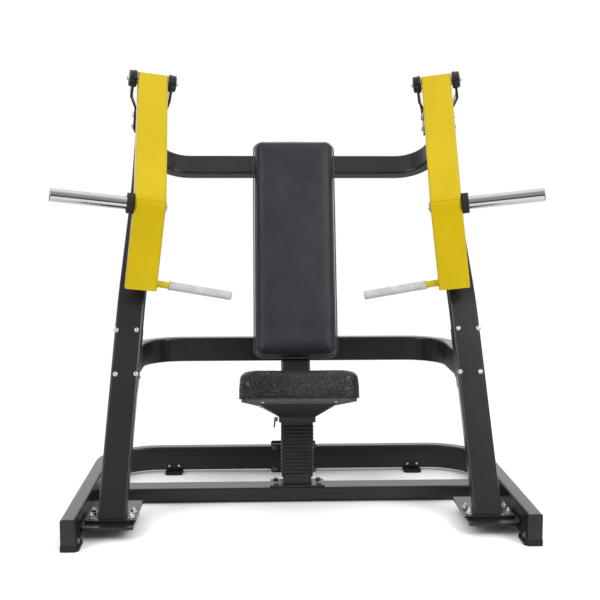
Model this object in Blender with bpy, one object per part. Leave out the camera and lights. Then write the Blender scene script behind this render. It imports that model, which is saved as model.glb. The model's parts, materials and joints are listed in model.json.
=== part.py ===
"""Plate-loaded converging chest press: frame, two press arms, back pad and height-adjustable seat.

World frame: +Z up, the user sits at the middle and faces -Y, X runs across the machine.
Depths below are measured back from the front ends of the floor rails, heights from the floor.
"""
import bpy
import bmesh
from math import ceil, cos, pi, radians, sin, tan
from mathutils import Matrix, Vector

# ---------------------------------------------------------------- driving dimensions (metres)
ORIGIN_DEPTH = 0.5478         # from the rail fronts back to the origin
GAP = 0.0003                  # between touching neighbours
WALL = 0.003                  # tube wall
CORNER = 0.007                # outside corner radius of the tubes
PLATE = 0.008                 # flange plates
PLATE_CORNER = 0.006
SOFT_CORNER = 0.008           # corners of the rubber feet
ROUND_SEGMENTS = 24
HORN_SEGMENTS = 32
MERGE = 0.00002               # merge distance for coincident points

FRAME_TUBE = (0.100, 0.050)   # frame tube section
TOP_TUBE = (0.090, 0.045)     # top crossbar section
HEAVY_TUBE = (0.115, 0.060)   # arm and pad column section

FOOT_HEIGHT = 0.012
SOLE = 0.0117                 # rubber feet
FRONT_FOOT = (0.062, 0.100)
REAR_FOOT = (0.072, 0.090)
REAR_FOOT_FORWARD = 0.020
FRONT_FOOT_AT = (0.786, 0.050)  # across, depth
REAR_FOOT_X = 0.512
RAIL_HALF_SPAN = 0.790        # rail centre lines
REAR_DEPTH = 1.010            # centre line of the rear floor tube
BASE_BEND = 0.220
CROSS_DEPTH = 0.576           # centre line of the floor cross tube
SHELF_TOP = 0.050             # bolting shelf inside each rail
SHELF = (0.180, 0.320, 0.010)
SHELF_FRONT = 0.100
FOOT_PLATE = (0.178, 0.120)
FOOT_PLATE_BACK = 0.004       # foot plate behind the centre of the upright

UPRIGHT_FOOT_X = 0.669        # centre line of an upright at the floor
UPRIGHT_LEAN_IN = 0.0608      # inward travel per metre of height
UPRIGHT_PROFILE = ((0.056, 0.206), (0.790, 0.503), (1.200, 0.774), (1.535, 0.858))
UPRIGHT_BEND = 0.60

MID_HEIGHT = 0.5385           # middle crossbar
MID_DEPTH = 0.980
MID_LEG_X = 0.640
MID_BEND = 0.175
MID_FLANGE = (0.100, 0.236)
MID_FLANGE_HEIGHT = 0.592
TOP_HEIGHT = 1.305            # top crossbar
TOP_DEPTH = 1.055
TOP_LEG_X = 0.583
TOP_BEND = 0.150
TOP_TILT = radians(33)
TOP_FLANGE = (0.100, 0.104)
TOP_FLANGE_HEIGHT = 1.424

PIVOT = (0.560, 0.765, 1.633) # right arm pivot: across, depth, height
AXIS_TOE = 0.205              # outer end of the pivot axis leans forward
AXIS_RISE = 0.115             # and up
ARM_BEND = (-0.352, -0.472)   # arm centre line in its own plane: back, up
ARM_FOOT = (-0.318, -0.792)
ARM_TOP = 0.026               # level top of the arm above its pivot
ARM_BEND_RADIUS = 0.030
ARM_CORNER = 0.009
EAR_OFFSET = 0.075            # ear plates either side of the arm
EAR_THICKNESS = 0.010
EAR_CORNER = 0.0015
BOSS_RADIUS = 0.032
BOSS_WIDTH = 0.027
BEARING_RADIUS = 0.026
BEARING_WIDTH = 0.015
SHAFT_RADIUS = 0.0125
SHAFT_INSET = 0.002           # shaft ends inside the boss faces
DRILL_OVER = 0.010            # cutting tools stand proud of the metal by this much
EAR_DEPTH = 0.060
EAR_NECK = (0.036, -0.056)    # end of the ears' straight part: back, up
EAR_GRIP = (1.522, 1.440)     # heights where the ears clasp the upright
CAP_THICKNESS = 0.006

STOP_UP = 0.050               # arm stop above the foot of the arm
STOP_CLEAR = 0.0004           # play between the stop and the resting arm
STOP_OUTWARD = 0.020
STOP_RADII = (0.011, 0.014, 0.017)
STOP_EDGE = 0.003

HORN_RADIUS = 0.024
HORN_LENGTH = 0.298
COLLAR_RADIUS = 0.0375
COLLAR_WIDTH = 0.025
HORN_CHAMFER = 0.003
COLLAR_CHAMFER = 0.002
ROD_RADIUS = 0.0125
STUB_LENGTH = 0.045
GRIP_RADIUS = 0.016
GRIP_LENGTH = 0.238
GRIP_CHAMFER = 0.003
GRIP_END = 0.006              # closed end of the grip
HORN_DROP = 0.012             # horn below the bend of the arm
HANDLE_UP = -0.768            # handle root in the arm's frame
HANDLE_DROOP = 0.070          # extra inward droop of the handle

PAD_WIDTH = 0.334
PAD_LENGTH = 0.910
PAD_THICKNESS = 0.060
PAD_CORNER = 0.045
PAD_EDGE = 0.012
PAD_BOTTOM = (0.650, 0.558)   # depth and height of the pad's lower front edge
PAD_RECLINE = radians(18.3)
BOARD = 0.012
PAD_BOARD_INSET = (0.020, 0.030)
PAD_BOARD_CORNER = 0.038
PAD_BRACKET = (0.230, 0.070)
PAD_BRACKETS_UP = (("lower", 0.16), ("upper", 0.58))
COLUMN_KNEE_DROP = 0.080      # column knee below the pad
COLUMN_BEND = 0.090
COLUMN_FOOT_SHARE = 0.55      # lower knee on the way forward to the upper one
COLUMN_FOOT_RISE = 0.030
COLUMN_FLANGE = (0.190, 0.070)
COLUMN_FLANGE_BACK = 0.008
CLAMP = (0.193, 0.124)
BRACE_TUBE = (0.080, 0.050)

SEAT_FRONT = (0.305, 0.460)   # depth and height of the lower front edge of the cushion
SEAT_TILT = radians(15)
SEAT_LENGTH = 0.372
SEAT_FRONT_WIDTH = 0.450
SEAT_REAR_WIDTH = 0.330
SEAT_THICKNESS = 0.108
SEAT_CORNER = 0.055
SEAT_EDGE = 0.016
SEAT_BOARD_INSET = 0.012
BRACKET_NECK = (0.142, 0.078)
BRACKET_NECK_HEIGHT = 0.020
BRACKET_MOUTH = (0.300, 0.190)
BRACKET_WALL = 0.004
BRACKET_CORNER = 0.010
POST_OUTER = (0.110, 0.060)
POST_INNER = (0.096, 0.046)
POST_TOP = 0.270
POST_FLANGE = (0.210, 0.096)
INNER_BOTTOM = 0.115
INNER_TOP_RISE = 0.030
BELLOWS = (0.126, 0.076)
BELLOWS_SPAN = (0.100, 0.315)
BELLOWS_WALL = 0.0055
BELLOWS_CORNER = 0.012
LEVER_WIDTH = 0.018
LEVER_AT = (-0.012, 0.008)    # back, up from the foot of the bracket
LEVER_OUTLINE = ((-0.004, -0.006), (-0.004, 0.006), (-0.014, 0.008), (-0.019, 0.002),
                 (-0.021, -0.030), (-0.015, -0.031), (-0.013, -0.007))

SIDES = (("left", -1), ("right", 1))


# ---------------------------------------------------------------- scene, materials and placing
for leftover in list(bpy.data.objects):
    bpy.data.objects.remove(leftover, do_unlink=True)


def finish(name, colour, roughness, metallic):
    mat = bpy.data.materials.new(name)
    mat.use_nodes = True
    shader = mat.node_tree.nodes["Principled BSDF"]
    shader.inputs["Base Color"].default_value = (*colour, 1.0)
    shader.inputs["Roughness"].default_value = roughness
    shader.inputs["Metallic"].default_value = metallic
    return mat


BLACK_COAT = finish("black_powder_coat", (0.030, 0.030, 0.034), 0.45, 0.0)
YELLOW_COAT = finish("yellow_powder_coat", (0.74, 0.54, 0.012), 0.38, 0.0)
LEATHER = finish("black_leatherette", (0.045, 0.045, 0.052), 0.50, 0.0)
CHROME = finish("chrome", (0.72, 0.73, 0.74), 0.12, 1.0)
RUBBER = finish("black_rubber", (0.012, 0.012, 0.012), 0.75, 0.0)
GRIP_FOAM = finish("grey_grip", (0.52, 0.53, 0.51), 0.60, 0.0)
PLYWOOD = finish("seat_board", (0.18, 0.17, 0.15), 0.70, 0.0)
BEARING_STEEL = finish("bearing_steel", (0.45, 0.45, 0.46), 0.30, 1.0)
PLASTIC = finish("black_plastic", (0.020, 0.020, 0.022), 0.55, 0.0)


def at(x, depth, height):
    """World point from across, depth behind the rail fronts and height."""
    return Vector((x, depth - ORIGIN_DEPTH, height))


def publish(name, bm, material, matrix=None, parent=None):
    """Turn a bmesh into a named object, local to its parent where it has one."""
    bmesh.ops.remove_doubles(bm, verts=bm.verts, dist=MERGE)
    bmesh.ops.recalc_face_normals(bm, faces=bm.faces)
    mesh = bpy.data.meshes.new(name)
    bm.to_mesh(mesh)
    bm.free()
    mesh.shade_smooth()
    mesh.set_sharp_from_angle(angle=radians(32))
    mesh.materials.append(material)
    obj = bpy.data.objects.new(name, mesh)
    bpy.context.scene.collection.objects.link(obj)
    if parent is not None:
        obj.parent = parent
    if matrix is not None:
        obj.matrix_local = matrix
    return obj


def basis(origin, x_axis, y_axis, z_axis):
    """Matrix that carries local axes to the three given directions."""
    turned = Matrix((x_axis, y_axis, z_axis)).transposed().to_4x4()
    return Matrix.Translation(origin) @ turned


# ---------------------------------------------------------------- shapes
def rounded_outline(width, height, radius, steps=2):
    """Counter-clockwise rounded rectangle about the origin."""
    points = []
    corners = ((1, 1, 0), (-1, 1, 90), (-1, -1, 180), (1, -1, 270))
    for sx, sy, start in corners:
        cx = sx * (width / 2 - radius)
        cy = sy * (height / 2 - radius)
        for i in range(steps + 1):
            angle = radians(start + 90 * i / steps)
            points.append((cx + radius * cos(angle), cy + radius * sin(angle)))
    return points


def filleted_path(points, radius, step=radians(11)):
    """Stations (point, direction) along straight runs joined by arcs."""
    stations = []
    points = [Vector(p) for p in points]
    stations.append((points[0], (points[1] - points[0]).normalized()))
    for before, corner, after in zip(points, points[1:], points[2:]):
        way_in = (corner - before).normalized()
        way_out = (after - corner).normalized()
        turn = way_in.angle(way_out)
        cut = radius * tan(turn / 2)
        start = corner - way_in * cut
        centre_side = (way_out - way_in * way_in.dot(way_out)).normalized()
        count = max(2, ceil(turn / step))
        for i in range(count + 1):
            angle = turn * i / count
            spot = start + way_in * radius * sin(angle) + centre_side * radius * (1 - cos(angle))
            stations.append((spot, way_in * cos(angle) + centre_side * sin(angle)))
    stations.append((points[-1], (points[-1] - points[-2]).normalized()))
    return stations


def slide_to_plane(spot, direction, plane):
    """Move a point along a direction until it meets the plane (point, normal)."""
    point, normal = plane
    return spot + direction * ((point - spot).dot(normal) / direction.dot(normal))


def loop_faces(bm, lower, upper):
    """Quads between two rings with the same number of vertices."""
    count = len(lower)
    for i in range(count):
        j = (i + 1) % count
        bm.faces.new((lower[i], lower[j], upper[j], upper[i]))


def tube_bmesh(stations, across, section, wall, corner=CORNER, start_cut=None, end_cut=None):
    """Hollow tube: section[0] lies along 'across', section[1] lies in the plane of the bends."""
    bm = bmesh.new()
    outer = rounded_outline(section[0], section[1], corner)
    inner = rounded_outline(section[0] - 2 * wall, section[1] - 2 * wall, corner - wall, 1)
    shells = []
    for outline in (outer, inner):
        rings = []
        for index, (spot, direction) in enumerate(stations):
            side = direction.cross(across).normalized()
            ring = [spot + across * u + side * v for u, v in outline]
            if index == 0 and start_cut:
                ring = [slide_to_plane(p, direction, start_cut) for p in ring]
            if index == len(stations) - 1 and end_cut:
                ring = [slide_to_plane(p, direction, end_cut) for p in ring]
            rings.append([bm.verts.new(p) for p in ring])
        for lower, upper in zip(rings, rings[1:]):
            loop_faces(bm, lower, upper)
        shells.append(rings)
    for end in (0, -1):
        edges = []
        for rings in shells:
            ring = rings[end]
            edges += [bm.edges.get((ring[i], ring[(i + 1) % len(ring)])) for i in range(len(ring))]
        bmesh.ops.triangle_fill(bm, use_beauty=True, edges=edges)
    return bm


def bar_bmesh(stations, across, section, corner, start_cut):
    """Solid bar along the stations; its first end lies on the start_cut plane."""
    bm = bmesh.new()
    outline = rounded_outline(section[0], section[1], corner)
    rings = []
    for spot, direction in stations:
        side = direction.cross(across).normalized()
        ring = [spot + across * u + side * v for u, v in outline]
        if not rings:
            ring = [slide_to_plane(p, direction, start_cut) for p in ring]
        rings.append([bm.verts.new(p) for p in ring])
    for lower, upper in zip(rings, rings[1:]):
        loop_faces(bm, lower, upper)
    bm.faces.new(rings[0][::-1])
    bm.faces.new(rings[-1])
    return bm


def prism_bmesh(outline, low, high):
    """Solid of a flat outline between two heights."""
    bm = bmesh.new()
    bottom = [bm.verts.new((x, y, low)) for x, y in outline]
    top = [bm.verts.new((x, y, high)) for x, y in outline]
    loop_faces(bm, bottom, top)
    bm.faces.new(bottom[::-1])
    bm.faces.new(top)
    return bm


def slab(name, size, matrix, material, corner=PLATE_CORNER):
    outline = rounded_outline(size[0], size[1], corner, 1)
    bm = prism_bmesh(outline, -size[2] / 2, size[2] / 2)
    return publish(name, bm, material, matrix)


def turned_bmesh(profile, segments, closed):
    """Solid of revolution about local X from (along, radius) points.

    A closed profile joins its last point to its first.
    """
    bm = bmesh.new()
    rings = []
    for along, radius in profile:
        if radius == 0:
            rings.append([bm.verts.new((along, 0, 0))])
            continue
        angles = [2 * pi * i / segments for i in range(segments)]
        rings.append([bm.verts.new((along, radius * cos(a), radius * sin(a))) for a in angles])
    pairs = list(zip(rings, rings[1:]))
    if closed:
        pairs.append((rings[-1], rings[0]))
    for lower, upper in pairs:
        if len(lower) == 1 and len(upper) == 1:
            continue
        if len(lower) == 1 or len(upper) == 1:
            tip, ring = (lower, upper) if len(lower) == 1 else (upper, lower)
            for i in range(segments):
                bm.faces.new((tip[0], ring[i], ring[(i + 1) % segments]))
        else:
            loop_faces(bm, lower, upper)
    return bm


def rod_bmesh(start, end, radius):
    """Solid cylinder along local X."""
    profile = [(start, 0), (start, radius), (end, radius), (end, 0)]
    return turned_bmesh(profile, ROUND_SEGMENTS, False)


def stack_bmesh(layers):
    """Solid lofted through outlines at given heights, capped at both ends."""
    bm = bmesh.new()
    rings = [[bm.verts.new((x, y, z)) for x, y in outline] for outline, z in layers]
    for lower, upper in zip(rings, rings[1:]):
        loop_faces(bm, lower, upper)
    bm.faces.new(rings[0][::-1])
    bm.faces.new(rings[-1])
    return bm


def merge_tools(target, tool, operation):
    """Apply an exact Boolean and drop the tool."""
    mod = target.modifiers.new(operation.lower(), "BOOLEAN")
    mod.operation = operation
    mod.solver = "EXACT"
    mod.object = tool
    bpy.context.view_layer.update()
    shaped = bpy.data.meshes.new_from_object(target.evaluated_get(bpy.context.evaluated_depsgraph_get()))
    target.modifiers.clear()
    target.data = shaped
    shaped.shade_smooth()
    shaped.set_sharp_from_angle(angle=radians(32))
    bpy.data.objects.remove(tool, do_unlink=True)


# ---------------------------------------------------------------- floor frame
def floor_frame():
    mid = FOOT_HEIGHT + FRAME_TUBE[0] / 2
    up = Vector((0, 0, 1))
    route = [at(-RAIL_HALF_SPAN, 0, mid), at(-RAIL_HALF_SPAN, REAR_DEPTH, mid),
             at(RAIL_HALF_SPAN, REAR_DEPTH, mid), at(RAIL_HALF_SPAN, 0, mid)]
    bm = tube_bmesh(filleted_path(route, BASE_BEND), up, FRAME_TUBE, WALL)
    publish("base_frame", bm, BLACK_COAT)

    reach = RAIL_HALF_SPAN - FRAME_TUBE[1] / 2 - GAP
    height = FOOT_HEIGHT + FRAME_TUBE[1] / 2
    route = [at(-reach, CROSS_DEPTH, height), at(reach, CROSS_DEPTH, height)]
    deep = Vector((0, 1, 0))
    publish("base_cross_tube", tube_bmesh(filleted_path(route, 0), deep, FRAME_TUBE, WALL), BLACK_COAT)

    for side_name, side in SIDES:
        pad = Matrix.Translation(at(side * FRONT_FOOT_AT[0], FRONT_FOOT_AT[1], SOLE / 2))
        slab("foot_front_" + side_name, (*FRONT_FOOT, SOLE), pad, RUBBER, SOFT_CORNER)
        pad = Matrix.Translation(at(side * REAR_FOOT_X, REAR_DEPTH - REAR_FOOT_FORWARD, SOLE / 2))
        slab("foot_rear_" + side_name, (*REAR_FOOT, SOLE), pad, RUBBER, SOFT_CORNER)
        inner_face = RAIL_HALF_SPAN - FRAME_TUBE[1] / 2 - GAP
        shelf_x = side * (inner_face - SHELF[0] / 2)
        shelf_spot = at(shelf_x, SHELF_FRONT + SHELF[1] / 2, SHELF_TOP - SHELF[2] / 2)
        slab("rail_shelf_" + side_name, SHELF, Matrix.Translation(shelf_spot), BLACK_COAT)


# ---------------------------------------------------------------- uprights and crossbars
def upright_point(side, height, depth):
    x = UPRIGHT_FOOT_X - UPRIGHT_LEAN_IN * (height - UPRIGHT_PROFILE[0][0])
    return at(side * x, depth, height)


def upright_axes(side, height):
    """Centre point, width direction, run direction and backward normal at a height."""
    for low, high in zip(UPRIGHT_PROFILE, UPRIGHT_PROFILE[1:]):
        if height <= high[0] or high is UPRIGHT_PROFILE[-1]:
            share = (height - low[0]) / (high[0] - low[0])
            centre = upright_point(side, height, low[1] + share * (high[1] - low[1]))
            run = (upright_point(side, *high) - upright_point(side, *low)).normalized()
            break
    across = run.cross(Vector((0, -1, 0))).normalized()
    back = across.cross(run).normalized()
    if back.y < 0:
        back = -back
        across = -across
    return centre, across, run, back


def arm_matrix(side):
    """Frame of an arm: X along its pivot axis, Y back, Z up, origin on the axis."""
    x_axis = Vector((1.0, -side * AXIS_TOE, side * AXIS_RISE)).normalized()
    y_axis = Vector((0, 0, 1)).cross(x_axis).normalized()
    z_axis = x_axis.cross(y_axis)
    return basis(at(side * PIVOT[0], PIVOT[1], PIVOT[2]), x_axis, y_axis, z_axis)


def uprights():
    for side_name, side in SIDES:
        points = [upright_point(side, height, depth) for height, depth in UPRIGHT_PROFILE]
        stations = filleted_path(points, UPRIGHT_BEND, radians(5))
        across = (points[1] - points[0]).cross(Vector((0, -1, 0))).normalized()
        foot_plate_top = SHELF_TOP + GAP + SHELF[2]
        foot_cut = (at(0, 0, foot_plate_top + GAP), Vector((0, 0, 1)))
        bm = tube_bmesh(stations, across, FRAME_TUBE, WALL, start_cut=foot_cut)
        publish("upright_" + side_name, bm, BLACK_COAT)
        centre, width, run, back = upright_axes(side, UPRIGHT_PROFILE[-1][0])
        cap = basis(centre + run * (GAP + CAP_THICKNESS / 2), width, back, run)
        slab("upright_cap_" + side_name, (*FRAME_TUBE, CAP_THICKNESS), cap, PLASTIC)

        foot = upright_point(side, foot_plate_top - SHELF[2] / 2, UPRIGHT_PROFILE[0][1])
        plate = Matrix.Translation(foot + Vector((0, FOOT_PLATE_BACK, 0)))
        slab("upright_foot_plate_" + side_name, (*FOOT_PLATE, SHELF[2]), plate, BLACK_COAT)


def crossbar(name, half, depth, height, bend, tilt, section, wall_height, flange_size):
    """U-shaped bar: its legs run forward, up the tilt, to a flange on the back of each upright."""
    forward = Vector((0, -cos(tilt), sin(tilt)))
    across = Vector((0, sin(tilt), cos(tilt)))
    rear = [at(-half, depth, height), at(half, depth, height)]
    cuts = []
    ends = []
    for index, (side_name, side) in enumerate(SIDES):
        centre, width, run, back = upright_axes(side, wall_height)
        face = centre + back * (FRAME_TUBE[1] / 2 + GAP)
        flange = basis(face + back * PLATE / 2, width, run, back)
        slab(name + "_flange_" + side_name, (*flange_size, PLATE), flange, BLACK_COAT)
        plane = (face + back * (PLATE + GAP), back)
        ends.append(slide_to_plane(rear[index], forward, plane))
        cuts.append(plane)
    route = [ends[0], rear[0], rear[1], ends[1]]
    bm = tube_bmesh(filleted_path(route, bend), across, section, WALL, start_cut=cuts[0], end_cut=cuts[1])
    publish(name, bm, BLACK_COAT)


# ---------------------------------------------------------------- pivots and arms
def pivot_ears(side_name, side):
    """Cranked plates that clasp the upright and carry the bearing bosses either side of the arm."""
    frame = arm_matrix(side)
    x_axis = Vector((1, 0, 0))
    slope = Vector((0, *EAR_NECK)).normalized()
    square = slope.cross(x_axis)
    for place, sign in (("inner", -side), ("outer", side)):
        name = "ear_plate_" + place + "_" + side_name
        rings = []
        for spot in (Vector((0, 0, 0)), Vector((0, *EAR_NECK))):
            centre = frame @ (spot + x_axis * sign * EAR_OFFSET)
            rings.append((centre, frame.to_3x3() @ x_axis, frame.to_3x3() @ square))
        for height in EAR_GRIP:
            centre, width, run, back = upright_axes(side, height)
            if width.x < 0:
                width = -width
            face = centre + width * sign * (FRAME_TUBE[0] / 2 + GAP + EAR_THICKNESS / 2)
            rings.append((face, width, back))
        bm = bmesh.new()
        made = []
        outline = rounded_outline(EAR_THICKNESS, EAR_DEPTH, EAR_CORNER, 1)
        for centre, thick, deep in rings:
            if deep.y < 0:
                deep = -deep
            made.append([bm.verts.new(centre + thick * u + deep * v) for u, v in outline])
        for lower, upper in zip(made, made[1:]):
            loop_faces(bm, lower, upper)
        bm.faces.new(made[0][::-1])
        bm.faces.new(made[-1])
        ear = publish(name, bm, BLACK_COAT)
        start = sign * EAR_OFFSET - BOSS_WIDTH / 2
        ends = (start, start + BOSS_WIDTH)
        boss = rod_bmesh(ends[0], ends[1], BOSS_RADIUS)
        merge_tools(ear, publish(name + "_boss", boss, BLACK_COAT, frame), "UNION")
        bore = BEARING_RADIUS + GAP
        cutter = rod_bmesh(ends[0] - DRILL_OVER, ends[1] + DRILL_OVER, bore)
        merge_tools(ear, publish(name + "_bore", cutter, BLACK_COAT, frame), "DIFFERENCE")

        start = sign * EAR_OFFSET - BEARING_WIDTH / 2
        ring = [(start, SHAFT_RADIUS + GAP), (start, BEARING_RADIUS)]
        ring += [(start + BEARING_WIDTH, BEARING_RADIUS), (start + BEARING_WIDTH, SHAFT_RADIUS + GAP)]
        bearing = turned_bmesh(ring, ROUND_SEGMENTS, True)
        publish("bearing_" + place + "_" + side_name, bearing, BEARING_STEEL, frame)


def press_arm(side_name, side):
    """Arm, shaft, weight horn and handle, all hung from an empty on the pivot axis."""
    hub = bpy.data.objects.new("arm_axis_" + side_name, None)
    bpy.context.scene.collection.objects.link(hub)
    hub.matrix_world = arm_matrix(side)

    half = HEAVY_TUBE[0] / 2
    bend = Vector((0, *ARM_BEND))
    foot = Vector((0, *ARM_FOOT))
    x_axis = Vector((1, 0, 0))
    z_axis = Vector((0, 0, 1))

    def arm_bar(inset):
        section = (HEAVY_TUBE[0] - 2 * inset, HEAVY_TUBE[1] - 2 * inset)
        end = foot + (bend - foot).normalized() * inset
        stations = filleted_path([Vector((0, 0, 0)), bend, end], ARM_BEND_RADIUS)
        top = (z_axis * (ARM_TOP - inset), z_axis)
        return bar_bmesh(stations, x_axis, section, ARM_CORNER - inset, top)

    arm = publish("arm_" + side_name, arm_bar(0), YELLOW_COAT, parent=hub)
    merge_tools(arm, publish("arm_hollow", arm_bar(WALL), YELLOW_COAT, parent=hub), "DIFFERENCE")
    drill = rod_bmesh(-half - DRILL_OVER, half + DRILL_OVER, SHAFT_RADIUS + GAP)
    merge_tools(arm, publish("shaft_drill", drill, YELLOW_COAT, parent=hub), "DIFFERENCE")

    reach = EAR_OFFSET + BOSS_WIDTH / 2 - SHAFT_INSET
    shaft = rod_bmesh(-reach, reach, SHAFT_RADIUS)
    publish("pivot_shaft_" + side_name, shaft, BEARING_STEEL, parent=hub)

    lower = (foot - bend).normalized()
    horn_spot = Matrix.Translation(bend + lower * HORN_DROP)
    root = half + GAP
    tip = root + HORN_LENGTH
    bore = HORN_RADIUS - WALL
    horn = [(root, bore), (root, HORN_RADIUS), (tip - HORN_CHAMFER, HORN_RADIUS)]
    horn += [(tip, HORN_RADIUS - HORN_CHAMFER), (tip, 0), (tip - WALL, 0), (tip - WALL, bore)]
    horn = [(side * along, radius) for along, radius in horn]
    bm = turned_bmesh(horn, HORN_SEGMENTS, True)
    publish("weight_horn_" + side_name, bm, CHROME, horn_spot, hub)
    seat_bore = HORN_RADIUS + GAP
    outer = root + COLLAR_WIDTH
    ring = [(root, seat_bore), (root, COLLAR_RADIUS - COLLAR_CHAMFER)]
    ring += [(root + COLLAR_CHAMFER, COLLAR_RADIUS), (outer - COLLAR_CHAMFER, COLLAR_RADIUS)]
    ring += [(outer, COLLAR_RADIUS - COLLAR_CHAMFER), (outer, seat_bore)]
    ring = [(side * along, radius) for along, radius in ring]
    bm = turned_bmesh(ring, HORN_SEGMENTS, True)
    publish("horn_collar_" + side_name, bm, RUBBER, horn_spot, hub)

    share = (HANDLE_UP - ARM_BEND[1]) / (ARM_FOOT[1] - ARM_BEND[1])
    handle_back = ARM_BEND[0] + share * (ARM_FOOT[0] - ARM_BEND[0])
    handle_root = Vector((-side * root, handle_back, HANDLE_UP))
    droop = Matrix.Rotation(-side * HANDLE_DROOP, 4, "Y")
    handle_spot = Matrix.Translation(handle_root) @ droop @ Matrix.Translation((side * root, 0, 0))
    weld_plane = (handle_root, x_axis)
    rod_end = root + STUB_LENGTH + GRIP_LENGTH - GRIP_END
    bm = rod_bmesh(-side * root, -side * rod_end, ROD_RADIUS)
    for vert in bm.verts:
        vert.co = handle_spot @ vert.co
        if vert.co.x * -side < root + ROD_RADIUS:
            vert.co = slide_to_plane(vert.co, droop.to_3x3() @ x_axis, weld_plane)
    bm.transform(handle_spot.inverted())
    publish("handle_rod_" + side_name, bm, YELLOW_COAT, handle_spot, hub)
    start = root + STUB_LENGTH
    end = start + GRIP_LENGTH
    bore = ROD_RADIUS + GAP
    grip = [(start, bore), (start, GRIP_RADIUS - GRIP_CHAMFER), (start + GRIP_CHAMFER, GRIP_RADIUS)]
    grip += [(end - GRIP_CHAMFER, GRIP_RADIUS), (end, GRIP_RADIUS - GRIP_CHAMFER), (end, 0)]
    grip += [(rod_end + GAP, 0), (rod_end + GAP, bore)]
    grip = [(-side * along, radius) for along, radius in grip]
    bm = turned_bmesh(grip, ROUND_SEGMENTS, True)
    publish("hand_grip_" + side_name, bm, GRIP_FOAM, handle_spot, hub)


def arm_stop(side_name, side):
    """Rubber buffer on the front of the upright, square to the back of the resting arm."""
    frame = arm_matrix(side)
    lower = Vector((0, ARM_FOOT[0] - ARM_BEND[0], ARM_FOOT[1] - ARM_BEND[1])).normalized()
    behind = Vector((0, -lower.z, lower.y))
    foot = Vector((STOP_OUTWARD * side, *ARM_FOOT))
    touch = foot - lower * STOP_UP + behind * (HEAVY_TUBE[1] / 2 + STOP_CLEAR)
    contact = frame @ touch
    along = frame.to_3x3() @ behind
    centre, width, run, back = upright_axes(side, contact.z)
    face_plane = (centre - back * (FRAME_TUBE[1] / 2 + GAP), back)
    base = slide_to_plane(contact, along, face_plane)
    length = (base - contact).length
    profile = [(0, 0), (0, STOP_RADII[0]), (STOP_EDGE, STOP_RADII[1])]
    profile += [(length, STOP_RADII[2]), (length, 0)]
    bm = turned_bmesh(profile, ROUND_SEGMENTS, False)
    facing = basis(contact, along, frame.to_3x3() @ Vector((1, 0, 0)), (frame.to_3x3() @ lower))
    for vert in bm.verts:
        at_base = vert.co.x > length - STOP_EDGE
        vert.co = facing @ vert.co
        if at_base:
            vert.co = slide_to_plane(vert.co, along, face_plane)
    publish("arm_stop_" + side_name, bm, RUBBER)


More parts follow.
